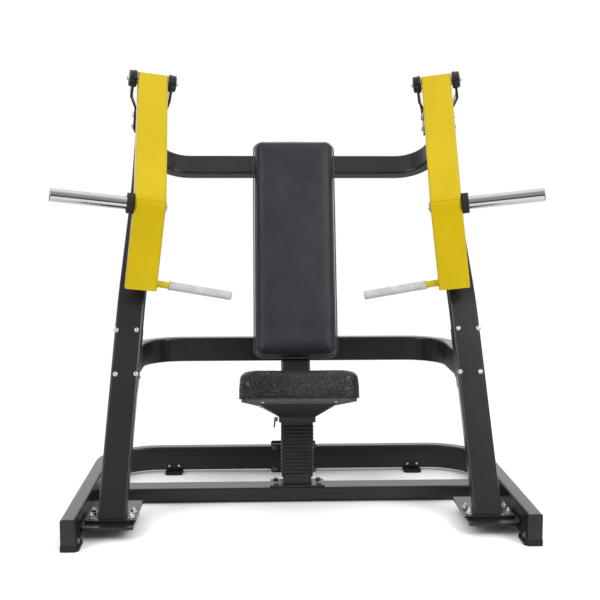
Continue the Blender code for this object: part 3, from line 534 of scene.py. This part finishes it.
# ---------------------------------------------------------------- reading the CAD
def flat_face(node, direction, up=UP, below=None):
    """Frame on the largest flat face of a CAD node that looks along a direction: Y up, Z outwards."""
    mesh = NODES[node].data
    groups = {}
    for face in mesh.polygons:
        if face.normal.dot(direction) < 0.5 or (below is not None and face.center.z > below):
            continue
        key = tuple(round(c, 2) for c in face.normal)
        groups.setdefault(key, []).append(face)
    faces = max(groups.values(), key=lambda members: sum(face.area for face in members))
    normal = faces[0].normal.copy()
    rise = (up - normal * up.dot(normal)).normalized()
    across = rise.cross(normal)
    corners = [mesh.vertices[i].co for face in faces for i in face.vertices]
    middle = normal * corners[0].dot(normal)
    for axis in (across, rise):
        reach = [corner.dot(axis) for corner in corners]
        middle += axis * (min(reach) + max(reach)) / 2
    return basis(middle, across, rise, normal)


def joint_ring(node, point, normal, slack=0.0012, keep=None):
    """Outer edge of a tube where it meets a plane, in order round the joint."""
    normal = normal.normalized()
    side = normal.orthogonal().normalized()
    other = normal.cross(side)
    flat = []
    for vert in NODES[node].data.vertices:
        if abs((vert.co - point).dot(normal)) < slack and (keep is None or keep(vert.co)):
            flat.append((round(vert.co.dot(side), 5), round(vert.co.dot(other), 5)))
    flat = sorted(set(flat))
    hull = []
    for run in (flat, flat[::-1]):
        part = []
        for p in run:
            while len(part) > 1:
                (ax, ay), (bx, by) = part[-2], part[-1]
                if (bx - ax) * (p[1] - ay) - (by - ay) * (p[0] - ax) > 0:
                    break
                part.pop()
            part.append(p)
        hull += part[:-1]
    level = normal * point.dot(normal)
    return [side * u + other * v + level for u, v in hull]


def arm_frame(side_name):
    """Frame of a press arm from its joint: X along the pivot, Y back, Z up."""
    joint = next(j for j in frame["joints"] if j["name"] == "press_" + side_name)
    x_axis = -Vector(joint["axis"]).normalized()
    y_axis = UP.cross(x_axis).normalized()
    return basis(Vector(joint["pos_m"]), x_axis, y_axis, x_axis.cross(y_axis))


# ---------------------------------------------------------------- fasteners and welds
def button_head(radius, height):
    """Domed screw head with a hexagon socket."""
    profile = ((0.0, 1.0, False), (0.25, 1.0, False), (0.62, 0.86, False), (0.90, 0.62, False),
               (1.0, 0.46, False), (0.98, 0.40, True), (0.40, 0.38, True))
    return turned([(height * up, radius * out, six) for up, out, six in profile])


def washer_and(radius, thickness, upper):
    """A washer with another turned profile stacked on it."""
    steps = [(0.0, radius * 0.97, False), (thickness * 0.2, radius, False)]
    steps += [(thickness * 0.8, radius, False), (thickness, radius * 0.97, False)]
    steps += [(thickness + height, reach, six) for height, reach, six in upper]
    return turned(steps)


def hex_head(corner, height, stub):
    """Steps of a hexagon nut or head with chamfered corners, and of a threaded end of length stub."""
    steps = [(0.0, corner * 0.93, False), (height * 0.12, corner, True), (height * 0.85, corner, True)]
    steps += [(height, corner * 0.86, False)]
    if stub:
        bolt = corner * 0.50
        steps += [(height, bolt, False)]
        for i in range(int(stub / THREAD_PITCH)):
            steps += [(height + THREAD_PITCH * (i + 0.5), bolt * 0.90, False)]
            steps += [(height + THREAD_PITCH * (i + 1), bolt, False)]
        steps += [(height + stub + 0.001, bolt * 0.8, False)]
    return steps


# Screws: name, head radius, head height.
FASTENERS = {}
for kind, screw, radius, height in (("button", "button_screw", 0.0098, 0.0062),
                                    ("small_button", "small_button_screw", 0.0062, 0.0040)):
    FASTENERS[kind] = to_mesh(screw, button_head(radius, height), ZINC, 40)
# Hexagons on washers: name, washer radius and thickness, corner radius, height, threaded end, material.
for kind, hexagon, washer, thickness, corner, height, stub, metal in (
        ("nut", "washer_nut", 0.0125, 0.0022, 0.0098, 0.0090, 0.0060, ZINC),
        ("bolt", "washer_bolt", 0.0135, 0.0024, 0.0104, 0.0078, 0, ZINC),
        ("big_bolt", "horn_bolt", 0.0215, 0.0026, 0.0138, 0.0055, 0, ZINC),
        ("dark_bolt", "dark_bolt", 0.0115, 0.0020, 0.0090, 0.0065, 0, BLACK_OXIDE)):
    profile = hex_head(corner, height, stub)
    FASTENERS[kind] = to_mesh(hexagon, washer_and(washer, thickness, profile), metal, 30)
fastener_count = {}


def fasten(kind, where, spot, body, flip=False):
    """Put a fastener on a face frame at a local spot; flip turns it to point the other way."""
    fastener_count[kind] = fastener_count.get(kind, 0) + 1
    matrix = where @ Matrix.Translation(spot)
    if flip:
        matrix = matrix @ Matrix.Rotation(pi, 4, "X")
    spin = Matrix.Rotation(FASTENER_SPIN * fastener_count[kind], 4, "Z")
    name = f"{kind}_{fastener_count[kind]:02d}"
    piece(name, FASTENERS[kind], body, matrix @ spin)


def through_bolts(where, spots):
    """Nuts on a crossbar's flange, button heads on the far side of the upright."""
    depth = PLATE + 2 * GAP + TUBE_DEPTH
    for x, y in spots:
        fasten("nut", where, (x, y, 0), "frame")
        fasten("button", where, (x, y, -depth), "frame", flip=True)


def weld(name, loop, body="frame", material=BLACK_COAT, radius=BEAD, closed=True):
    """Rippled bead round a joint."""
    spots = resampled(loop, BEAD_STEP, closed)

    def ripple(i):
        return radius * (1.0 + 0.16 * sin(i * 1.9) + 0.07 * sin(i * 0.61 + 1.3))

    mesh = to_mesh(name, tube_along(spots, ripple, BEAD_SIDES, closed), material, 60)
    piece(name, mesh, body)


def circle(where, radius, count=40):
    spots = [(radius * cos(2 * pi * i / count), radius * sin(2 * pi * i / count)) for i in range(count)]
    return [where @ Vector((x, y, 0)) for x, y in spots]


# ---------------------------------------------------------------- upholstery
def seat_outline(inset, radius, steps=8):
    """Tapered seat outline; the front edge lies on y = inset."""
    front = SEAT_WIDTHS[0] / 2 - inset
    rear = SEAT_WIDTHS[1] / 2 - inset
    far = SEAT_LENGTH - inset
    corners = ((front, inset, -90), (rear, far, 0), (-rear, far, 90), (-front, inset, 180))
    points = []
    for x, y, start in corners:
        cx = x - radius if x > 0 else x + radius
        cy = y + radius if y == inset else y - radius
        for i in range(steps + 1):
            angle = radians(start + 90 * i / steps)
            points.append((cx + radius * cos(angle), cy + radius * sin(angle)))
    return points


def pad_outline(inset, radius, steps=8):
    return rounded_outline(PAD_SIZE[0] - 2 * inset, PAD_SIZE[1] - 2 * inset, radius, steps)


def cushion_shell(outline, corner, thickness, edge, inset):
    """Closed shell of a pad whose face edge is rounded; local Z points out of the face."""
    layers = [(outline(inset, corner - inset), 0.0)]
    for i in range(6):
        angle = radians(90 * i / 5)
        back_in = edge * (1 - cos(angle))
        ring = outline(inset + back_in, corner - inset - back_in * 0.8)
        layers.append((ring, thickness - edge + edge * sin(angle)))
    return lofted(layers)


def pinned(spot):
    """Weight that holds a point of a shell: the back of the pad, which lies on its board, stays put."""
    return 1.0 if spot.z < VOXEL * 0.8 else 0.0


def swollen(name, bm, material, cap):
    """Remesh a shell, let cloth pressure fill it, and hold each point to within the cap.
    """
    mesh = to_mesh(name, bm, material)
    obj = bpy.data.objects.new(name, mesh)
    bpy.context.scene.collection.objects.link(obj)
    fine = obj.modifiers.new("fine", "REMESH")
    fine.mode = "VOXEL"
    fine.voxel_size = VOXEL
    bpy.context.view_layer.update()
    graph = bpy.context.evaluated_depsgraph_get()
    remeshed = bpy.data.meshes.new_from_object(obj.evaluated_get(graph))
    obj.modifiers.clear()
    obj.data = remeshed
    remeshed.materials.clear()
    remeshed.materials.append(material)
    rest = [vert.co.copy() for vert in remeshed.vertices]
    moved = pressed(obj, rest)
    steps = []
    for start, end in zip(rest, moved):
        step = end - start
        steps.append(step.normalized() * min(step.length, cap) if step.length else step)
    steps = settled(remeshed, steps, [pinned(spot) for spot in rest])
    for vert, start, step in zip(remeshed.vertices, rest, steps):
        vert.co = start + step
    remeshed.shade_smooth()
    smooth = obj.modifiers.new("subdivision", "SUBSURF")
    smooth.levels = 1
    smooth.render_levels = 1
    return obj


def settled(mesh, steps, holds):
    """Even out how far neighbouring points moved, as foam under a cover does; held points stay."""
    near = [[] for _ in steps]
    for edge in mesh.edges:
        first, second = edge.vertices
        near[first].append(second)
        near[second].append(first)

    def evened(step, hold, around):
        if hold or not around:
            return step
        return (step + sum((steps[k] for k in around), Vector()) / len(around)) / 2

    for _ in range(SETTLE_ROUNDS):
        steps = [evened(*each) for each in zip(steps, holds, near)]
    return steps


def pressed(obj, rest):
    """Points of a closed shell after cloth pressure has filled it."""
    group = obj.vertex_groups.new(name="sewn")
    for i, spot in enumerate(rest):
        hold = pinned(spot)
        if hold > 0:
            group.add([i], hold, "REPLACE")
    cloth = obj.modifiers.new("filling", "CLOTH")
    cloth.settings.quality = 4
    cloth.settings.mass = 0.25
    cloth.settings.tension_stiffness = 12
    cloth.settings.compression_stiffness = 12
    cloth.settings.bending_stiffness = 1.5
    cloth.settings.use_pressure = True
    cloth.settings.uniform_pressure_force = PRESSURE
    cloth.settings.effector_weights.gravity = 0.0
    cloth.settings.vertex_group_mass = "sewn"
    cloth.collision_settings.use_collision = False
    cloth.point_cache.frame_start = 1
    cloth.point_cache.frame_end = SWELL_FRAMES
    scene = bpy.context.scene
    for step in range(1, SWELL_FRAMES + 1):
        scene.frame_set(step)
    graph = bpy.context.evaluated_depsgraph_get()
    filled = [vert.co.copy() for vert in obj.evaluated_get(graph).data.vertices]
    obj.modifiers.clear()
    obj.vertex_groups.clear()
    scene.frame_set(1)
    return filled


def place_soft(obj, where, body, node):
    """Carry a finished cushion to its place and let it stand for its CAD solid."""
    obj.data.transform(where)
    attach(obj, body)
    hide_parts(node)


def edging(name, where, outline, radius, material, body):
    """Round cord along a pad's edge: the piping of the back pad or the hem of the seat."""
    spots = resampled([where @ Vector(point) for point in outline], 0.006, True)
    mesh = to_mesh(name, tube_along(spots, lambda i: radius, 10, True), material, 60)
    piece(name, mesh, body)


def stitches(name, line, outward, body):
    """Row of thread stitches pressed into a seam line."""
    spots = resampled(line, STITCH_PITCH, True)
    bm = bmesh.new()
    count = len(spots)
    for i, spot in enumerate(spots):
        along = (spots[(i + 1) % count] - spot).normalized()
        out = outward(spot)
        side = along.cross(out).normalized()
        seated = basis(spot, along, side, out)
        rings = []
        for share, lift, thick in STITCH_PROFILE:
            ring = []
            for k in range(6):
                angle = 2 * pi * k / 6
                offset = Vector((STITCH_PITCH * STITCH_SHARE * share, THREAD_RADIUS * thick * cos(angle),
                                 THREAD_RADIUS * (lift + thick * sin(angle))))
                ring.append(bm.verts.new(seated @ offset))
            rings.append(ring)
        for lower, upper in zip(rings, rings[1:]):
            ring_faces(bm, lower, upper)
        bm.faces.new(rings[0][::-1])
        bm.faces.new(rings[-1])
    piece(name, to_mesh(name, bm, THREAD, 60), body)


def back_pad():
    """Back pad cover with its piping and its row of stitches."""
    lean = Vector((0, sin(PAD_RECLINE), cos(PAD_RECLINE)))
    out = Vector((0, -cos(PAD_RECLINE), sin(PAD_RECLINE)))
    low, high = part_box("back_pad_board")
    where = basis((low + high) / 2 + out * (BOARD / 2 + GAP), lean.cross(out), lean, out)

    def crown(spot):
        share = max(0.0, cos(pi * spot.x / PAD_SIZE[0])) * max(0.0, cos(pi * spot.y / PAD_SIZE[1])) ** 0.3
        rise = share * min(1.0, spot.z / PAD_SIZE[2])
        return Vector((0, 0, PAD_SWELL * rise))

    shell = cushion_shell(pad_outline, PAD_CORNER, PAD_SIZE[2] - PAD_SWELL, PAD_EDGE, PAD_INSET)
    obj = swollen("back_pad_cover", shell, PAD_LEATHER, PAD_SWELL)
    place_soft(obj, where, "frame", "back_pad")

    welt = [(x, y, PIPING_HEIGHT) for x, y in pad_outline(PIPING_INSET, PAD_CORNER, 10)]
    edging("back_pad_piping", where, welt, PIPING_RADIUS, PIPING, "frame")
    seam = [where @ Vector((x, y, SEAM_HEIGHT)) for x, y in pad_outline(-SEAM_PROUD, PAD_CORNER, 10)]
    heart = where @ Vector((0, 0, 0.010))
    straight = PAD_SIZE[1] / 2 - 0.05

    def outward(spot):
        """Direction from the straight part of the pad's long middle line to a point of the seam."""
        away = spot - heart
        return (away - lean * max(-straight, min(straight, away.dot(lean)))).normalized()

    stitches("back_pad_stitches", seam, outward, "frame")


def seat():
    """Seat cushion cover with its hem, and the screws under its board."""
    back = Vector((0, cos(SEAT_TILT), -sin(SEAT_TILT)))
    out = Vector((0, sin(SEAT_TILT), cos(SEAT_TILT)))
    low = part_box("seat_cushion")[0]
    front = Vector((0, low.y, low.z + sin(SEAT_TILT) * SEAT_LENGTH))
    where = basis(front, RIGHT, back, out)

    def crown(spot):
        flat = Vector((spot.x / SEAT_WIDTHS[0], (spot.y - SEAT_LENGTH / 2) / SEAT_LENGTH, 0))
        rise = max(0.0, 1 - 4 * flat.length_squared)
        return Vector((0, 0, SEAT_SWELL * rise * min(1.0, spot.z / SEAT_THICKNESS)))

    thickness = SEAT_THICKNESS - SEAT_SWELL - SEAT_SPARE
    shell = cushion_shell(seat_outline, SEAT_CORNER, thickness, SEAT_EDGE, SEAT_INSET)
    obj = swollen("seat_cushion_cover", shell, SEAT_LEATHER, SEAT_SWELL)
    place_soft(obj, where, "seat", "seat_cushion")

    hem = [(x, y, HEM_HEIGHT) for x, y in seat_outline(HEM_INSET, SEAT_CORNER, 10)]
    edging("seat_hem", where, hem, HEM_RADIUS, SEAT_LEATHER, "seat")
    underside = flat_face("seat_board", -out, BACK)
    for x, y in SEAT_SCREWS:
        fasten("small_button", underside, (x, y, 0), "seat")


# ---------------------------------------------------------------- bellows, grips and rubber
def bellows():
    """Pleated boot that stretches between the frame and the sliding seat."""
    low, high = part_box("post_bellows")
    centre = (low + high) / 2
    pleated = high.z - low.z - 2 * CUFF
    steps = PLEATS * 10

    def layer(inset, z):
        size = (BELLOWS[0] - 2 * inset, BELLOWS[1] - 2 * inset)
        outline = rounded_outline(*size, BELLOWS_CORNER - inset * 0.5, 5)
        return [(x + centre.x, y + centre.y) for x, y in outline], z

    # A cuff at each end has a turned-in lip, a rim and a top.
    lip, rim, top = PLEAT_DEPTH + 0.0015, PLEAT_DEPTH * 0.55, PLEAT_DEPTH * 0.45
    layers = [layer(lip, low.z + 0.001), layer(rim, low.z), layer(top, low.z + CUFF * 0.9)]
    for i in range(steps + 1):
        wave = 0.5 + 0.5 * cos(2 * pi * PLEATS * i / steps)
        layers.append(layer(PLEAT_DEPTH * wave ** 2, low.z + CUFF + pleated * i / steps))
    layers += [layer(top, high.z - CUFF * 0.9), layer(rim, high.z), layer(lip, high.z - 0.001)]
    mesh = to_mesh("pleated_boot", lofted(layers, cap_ends=False), PLEATED, 70)
    obj = bpy.data.objects.new("pleated_boot", mesh)
    bpy.context.scene.collection.objects.link(obj)
    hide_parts("post_bellows")
    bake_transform(obj)


def cylinder_frame(node):
    """Frame at the middle of a long CAD cylinder, with Z along it to the front, and its length."""
    spots = [vert.co for vert in NODES[node].data.vertices]
    centre = sum(spots, Vector()) / len(spots)
    far = max(spots, key=lambda p: (p - centre).length)
    away = (far - centre).normalized()
    # Power iteration: the direction in which the vertices spread most.
    for _ in range(12):
        total = Vector()
        for p in spots:
            offset = p - centre
            total += offset * offset.dot(away)
        away = total.normalized()
    reach = [(p - centre).dot(away) for p in spots]
    middle = centre + away * (min(reach) + max(reach)) / 2
    if away.y > 0:
        away = -away
    side = away.orthogonal().normalized()
    return basis(middle, side, away.cross(side), away), max(reach) - min(reach)


def grips():
    """Moulded grips: a thin flange at the stub, a plain sleeve and a rounded end."""
    for side_name, side in SIDES:
        node = "hand_grip_" + side_name
        where, length = cylinder_frame(node)
        inward = Vector((-side, 0, 0))
        if (where.to_3x3() @ UP).dot(inward) < 0:
            where = where @ Matrix.Rotation(pi, 4, "X")
        start = -length / 2
        end = length / 2
        bore = ROD_RADIUS + 0.0004 - GRIP_RADIUS
        profile = ((0.004, bore), (0.0, bore), (0.0, 0.0006), (0.0012, 0.0014), (0.0042, 0.0014),
                   (0.0054, 0.0002), (0.0090, 0.0))
        steps = [(start + along, GRIP_RADIUS + proud, False) for along, proud in profile]
        for i in range(1, 12):
            steps.append((start + 0.009 + (length - 0.030) * i / 12, GRIP_RADIUS, False))
        for i in range(7):
            angle = radians(90 * i / 6)
            reach = GRIP_RADIUS - GRIP_END * (1 - cos(angle))
            steps.append((end - GRIP_END * (1 - sin(angle)), reach, False))
        mesh = to_mesh("grip_sleeve_" + side_name, turned(steps), GRIP, 40)
        obj = piece("grip_sleeve_" + side_name, mesh, "arm_" + side_name, where)
        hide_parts(node)


def plug(name, centre, size, thickness, corner, material):
    """Low-crowned plug or plate with a rounded rim, on a face that looks to the front."""
    layers = []
    for trim, share in ((0.0, 0.0), (0.0, 0.55), (0.0008, 0.88), (0.0020, 1.0)):
        outline = rounded_outline(size[0] - 2 * trim, size[1] - 2 * trim, corner - trim)
        layers.append((outline, thickness * share))
    mesh = to_mesh(name, lofted(layers), material, 30)
    piece(name, mesh, "frame", basis(centre, UP.cross(-BACK), UP, -BACK))


# ---------------------------------------------------------------- frame details
def grid(across, up):
    return [(x, y) for x in across for y in up]


def floor_details():
    """Plugs, shoes, tabs, bolts and weld beads of the floor frame."""
    low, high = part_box("base_frame")
    middle_z = (low.z + high.z) / 2
    rear_front = high.y - TUBE_DEPTH
    for side_name, side in SIDES:
        rail_x = side * (high.x - TUBE_DEPTH / 2)
        spot = Vector((rail_x, low.y - 0.0002, middle_z))
        plug("rail_plug_" + side_name, spot, (TUBE_DEPTH, TUBE_WIDTH), PLUG_THICKNESS, CORNER,
             PLASTIC)
        rail_shoe(side_name, Vector((rail_x, low.y, low.z)))
        off, back, up = RAIL_BOLT
        bolt_at = Vector((rail_x - side * (TUBE_DEPTH / 2 + off), low.y + back, low.z + up))
        fasten("dark_bolt", sideways(bolt_at, -side), (0, 0, 0), "frame")

        foot_low, foot_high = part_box("foot_rear_" + side_name)
        foot_x = (foot_low.x + foot_high.x) / 2
        tab_spot = Vector((foot_x, rear_front - GAP, foot_high.z + GAP + TAB_SIZE[1] / 2))
        plug("rear_foot_tab_" + side_name, tab_spot, TAB_SIZE, TAB_THICKNESS, 0.005,
             BLACK_COAT)
        tab = basis(tab_spot + Vector((0, -TAB_THICKNESS, 0.004)), -RIGHT, UP, -BACK)
        for x in TAB_SCREWS:
            fasten("small_button", tab, (x, 0, 0), "frame")

        plate = flat_face("upright_foot_plate_" + side_name, UP, BACK)
        for x, y in grid(*FOOT_BOLTS):
            fasten("nut", plate, (x, y, 0), "frame")
            fasten("bolt", plate, (x, y, -FOOT_CLAMP), "frame", flip=True)
        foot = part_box("upright_" + side_name)[0].z
        weld("upright_foot_weld_" + side_name, joint_ring("upright_" + side_name, Vector((0, 0, foot)), UP))
        edge_x = side * (high.x - TUBE_DEPTH)
        shelf_low, shelf_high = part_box("rail_shelf_" + side_name)
        seam = [Vector((edge_x - side * 0.001, y, shelf_high.z))
                for y in (shelf_low.y + 0.008, shelf_high.y - 0.008)]
        weld("shelf_weld_" + side_name, seam, closed=False)
        cross_end = Vector((edge_x - side * 0.0005, 0, 0))
        weld("cross_tube_weld_" + side_name, joint_ring("base_cross_tube", cross_end, RIGHT))

    flange = flat_face("seat_post_flange", UP, BACK)
    for x, y in grid(*POST_BOLTS):
        fasten("dark_bolt", flange, (x, y, 0), "frame")
    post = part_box("seat_post_outer")[0].z
    weld("seat_post_weld", joint_ring("seat_post_outer", Vector((0, 0, post)), UP))


def rail_shoe(side_name, corner):
    """Rubber shoe that wraps the lower front end of a rail."""
    inner = TUBE_DEPTH / 2 + GAP
    bm = bmesh.new()

    def track(reach, nose):
        """Line round the rail's end, from the back of one side to the back of the other."""
        points = [(-reach, SHOE_LENGTH), (-reach, nose + SHOE_CORNER)]
        for i in range(1, 5):
            angle = radians(180 + 90 * i / 5)
            x = -reach + SHOE_CORNER + SHOE_CORNER * cos(angle)
            points.append((x, nose + SHOE_CORNER + SHOE_CORNER * sin(angle)))
        return points + [(-x, y) for x, y in points[::-1]]

    # The section's corners: distance out from the inside of the wall, and height.
    section = ((SHOE_WALL, -SHOE_DROP), (SHOE_WALL, SHOE_RISE - 0.001), (SHOE_WALL - 0.001, SHOE_RISE),
               (0.0004, SHOE_RISE), (0.0002, -SHOE_DROP))
    rows = []
    for out, height in section:
        line = track(inner + out, -SHOE_NOSE - out)
        rows.append([bm.verts.new(corner + Vector((x, y, height))) for x, y in line])
    ring = rows + [rows[0]]
    for lower, upper in zip(ring, ring[1:]):
        for i in range(len(lower) - 1):
            bm.faces.new((lower[i], lower[i + 1], upper[i + 1], upper[i]))
    for end in (0, -1):
        bm.faces.new([row[end] for row in rows])
    mesh = to_mesh("rail_shoe_" + side_name, bm, RUBBER, 40)
    piece("rail_shoe_" + side_name, mesh, "frame")


def crossbar_details():
    """Bolts and weld beads of the crossbars, the pad column, its brace and the pad brackets."""
    for side_name, side in SIDES:
        mid = flat_face("mid_crossbar_flange_" + side_name, BACK)
        through_bolts(mid, grid(*MID_BOLTS))
        top = flat_face("top_crossbar_flange_" + side_name, BACK)
        through_bolts(top, grid(*TOP_BOLTS))
        for bar, face in (("mid_crossbar", mid), ("top_crossbar", top)):
            loop = joint_ring(bar, face.translation, face.to_3x3() @ UP, keep=lambda co: co.x * side > 0.3)
            weld(f"{bar}_weld_{side_name}", loop)

    for place, direction in (("front", -BACK), ("rear", BACK)):
        clamp = flat_face("column_clamp_" + place, direction)
        for x, y in grid(*CLAMP_BOLTS):
            fasten("dark_bolt" if place == "front" else "nut", clamp, (x, y, 0), "frame")
    column_end = flat_face("column_clamp_front", -BACK).translation
    weld("column_foot_weld", joint_ring("pad_column", column_end, BACK, keep=lambda co: co.z < 0.2))
    flange = flat_face("column_top_flange", -UP, BACK)
    weld("column_top_weld", joint_ring("pad_column", flange.translation, flange.to_3x3() @ UP,
                                       keep=lambda co: co.z > 1.0))
    for x in COLUMN_TOP_BOLTS:
        fasten("bolt", flange, (x, 0, 0), "frame")
        fasten("nut", flange, (x, *COLUMN_TOP_NUT), "frame", flip=True)
    brace_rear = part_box("column_brace")[1].y
    weld("brace_weld", joint_ring("column_brace", Vector((0, brace_rear, 0)), BACK))
    for place in ("lower", "upper"):
        bracket = flat_face("pad_bracket_" + place, BACK)
        for x in BRACKET_BOLTS:
            fasten("dark_bolt", bracket, (x, 0, 0), "frame")


def pivot_details():
    """Caps, spacers, ear plate bolts and boss beads at the arms' pivots."""
    for side_name, side in SIDES:
        hub = arm_frame(side_name)
        for place, sign in (("inner", -side), ("outer", side)):
            where = f"{place}_{side_name}"
            boss_face = hub @ sideways(Vector((sign * (EAR_OFFSET + BOSS_WIDTH / 2), 0, 0)), sign)
            steps = [(height, BOSS_RADIUS - inside, False) for height, inside in CAP_PROFILE]
            cap = to_mesh("pivot_cap_" + where, turned(steps), BLACK_OXIDE, 40)
            piece("pivot_cap_" + where, cap, "frame", boss_face)
            fasten("button", boss_face, (0, 0, CAP_SCREW_AT), "frame")

            bore = SHAFT_RADIUS + GAP
            start = ARM_WIDTH / 2 + GAP
            end = EAR_OFFSET - BOSS_WIDTH / 2 - GAP
            steps = [(start, bore, False), (start, SPACER_RADIUS, False)]
            steps += [(end, SPACER_RADIUS, False), (end, bore, False)]
            spacer = to_mesh("pivot_spacer_" + where, turned(steps), ZINC, 40)
            outwards = hub @ sideways(Vector(), sign)
            piece("pivot_spacer_" + where, spacer, "arm_" + side_name, outwards)

            ear = flat_face("ear_plate_" + where, sign * RIGHT, below=EAR_LEG_TOP)
            for y in EAR_BOLTS:
                fasten("bolt", ear, (0, y, 0), "frame")
            rim_at = EAR_OFFSET - EAR_THICKNESS / 2 - 2 * GAP
            inner_rim = hub @ sideways(Vector((sign * rim_at, 0, 0)), sign)
            weld("boss_weld_" + where, circle(inner_rim, BOSS_RADIUS), radius=0.0026)


def arm_details():
    """Weld beads, horn bolt and collar lip of each press arm."""
    half = ARM_WIDTH / 2
    bend = Vector((0, *ARM_BEND))
    foot = Vector((0, *ARM_FOOT))
    lower = (foot - bend).normalized()
    horn = bend + lower * HORN_DROP
    share = (HANDLE_UP - bend.z) / (foot.z - bend.z)
    handle = bend.lerp(foot, share)
    for side_name, side in SIDES:
        hub = arm_frame(side_name)
        body = "arm_" + side_name
        fold_normal = hub.to_3x3() @ (bend.normalized() + lower).normalized()
        fold = joint_ring(body, hub @ bend, fold_normal)
        weld("arm_fold_weld_" + side_name, fold, body, YELLOW_COAT, radius=0.0016)

        inner = hub @ sideways(horn - side * half * RIGHT, -side)
        fasten("big_bolt", inner, (0, 0, 0.0002), body)
        root = hub @ sideways(handle - side * (half + 0.0008) * RIGHT, -side)
        weld("handle_weld_" + side_name, circle(root, ROD_RADIUS + 0.001), body, YELLOW_COAT,
             radius=0.0024)
        outer = hub @ sideways(horn + side * (half + 0.0004) * RIGHT, side)
        weld("collar_weld_" + side_name, circle(outer, COLLAR_RADIUS), body, RUBBER,
             radius=0.0012)


# ---------------------------------------------------------------- stage
ROOM_FRONT = 0.60            # glow of the room in front of the machine, behind it, and below the floor
ROOM_BACK = 1.50
ROOM_BELOW = 0.12
ROOM_SEEN = 1.02             # plain background behind the machine
HORIZON = 0.60               # share of the front glow left at floor level
FLOOR_REACH = 2.6
# Each soft light: name, place, size, power in watts, and the point that it is aimed at.
LIGHTS = (("key", (3.0, -3.4, 3.6), (2.0, 2.4), 155, (0.0, 0.0, 0.8)),
          ("fill", (-3.2, -3.2, 3.0), (2.0, 2.4), 120, (0.0, 0.0, 0.8)),
          ("top", (0.0, -0.4, 5.2), (6.0, 4.5), 75, (0.0, -0.3, 0.0)))
CAMERA_AT = (-0.150, -3.987, 1.2055)
CAMERA_TILT = radians(84.05)
CAMERA_PAN = radians(-2.30)
FOCAL_LENGTH = 63.0
SENSOR = 36.0


def studio():
    """Pale round floor, a room that glows by direction, and three soft lights."""
    bm = bmesh.new()
    bmesh.ops.create_circle(bm, cap_ends=True, radius=FLOOR_REACH, segments=96)
    floor = bpy.data.objects.new("studio_floor", to_mesh("studio_floor", bm, stage_floor("studio_floor")))
    bpy.context.scene.collection.objects.link(floor)

    world = bpy.data.worlds.new("studio")
    bpy.context.scene.world = world
    world.use_nodes = True
    tree = world.node_tree
    backdrop = tree.nodes["Background"]
    backdrop.inputs["Color"].default_value = rgb(1.0, 1.0, 1.0)
    direction = add(tree, "ShaderNodeTexCoord").outputs["Generated"]
    parts = add(tree, "ShaderNodeSeparateXYZ", {"Vector": direction}).outputs
    walls = remap(tree, parts["Y"], -0.1, 0.8, ROOM_FRONT, ROOM_BACK)
    low = remap(tree, parts["Z"], 0.02, 0.34, HORIZON, 1.0)
    low = remap(tree, remap(tree, parts["Y"], -0.2, 0.2, 0.0, 1.0), 0.0, 1.0, low, 1.0)
    glow = times(tree, walls, low)
    glow = remap(tree, parts["Z"], -0.03, 0.0, ROOM_BELOW, glow)
    seen = add(tree, "ShaderNodeLightPath").outputs["Is Camera Ray"]
    tree.links.new(remap(tree, seen, 0.0, 1.0, glow, ROOM_SEEN), backdrop.inputs["Strength"])

    for name, spot, size, power, aim in LIGHTS:
        data = bpy.data.lights.new(name, "AREA")
        data.shape = "RECTANGLE"
        data.size = size[0]
        data.size_y = size[1]
        data.energy = power
        lamp = bpy.data.objects.new(name, data)
        bpy.context.scene.collection.objects.link(lamp)
        lamp.location = spot
        lamp.rotation_euler = (Vector(aim) - Vector(spot)).to_track_quat("-Z", "Y").to_euler()


def camera():
    """Camera in front of the machine, a little to the left and above its middle."""
    data = bpy.data.cameras.new("camera")
    data.lens = FOCAL_LENGTH
    data.sensor_width = SENSOR
    data.clip_end = 200.0
    obj = bpy.data.objects.new("camera", data)
    bpy.context.scene.collection.objects.link(obj)
    obj.location = CAMERA_AT
    obj.rotation_euler = (CAMERA_TILT, 0.0, CAMERA_PAN)
    bpy.context.scene.camera = obj
    bpy.context.scene.view_settings.view_transform = "Standard"


floor_details()
crossbar_details()
pivot_details()
arm_details()
bellows()
grips()
back_pad()
seat()
studio()
camera()
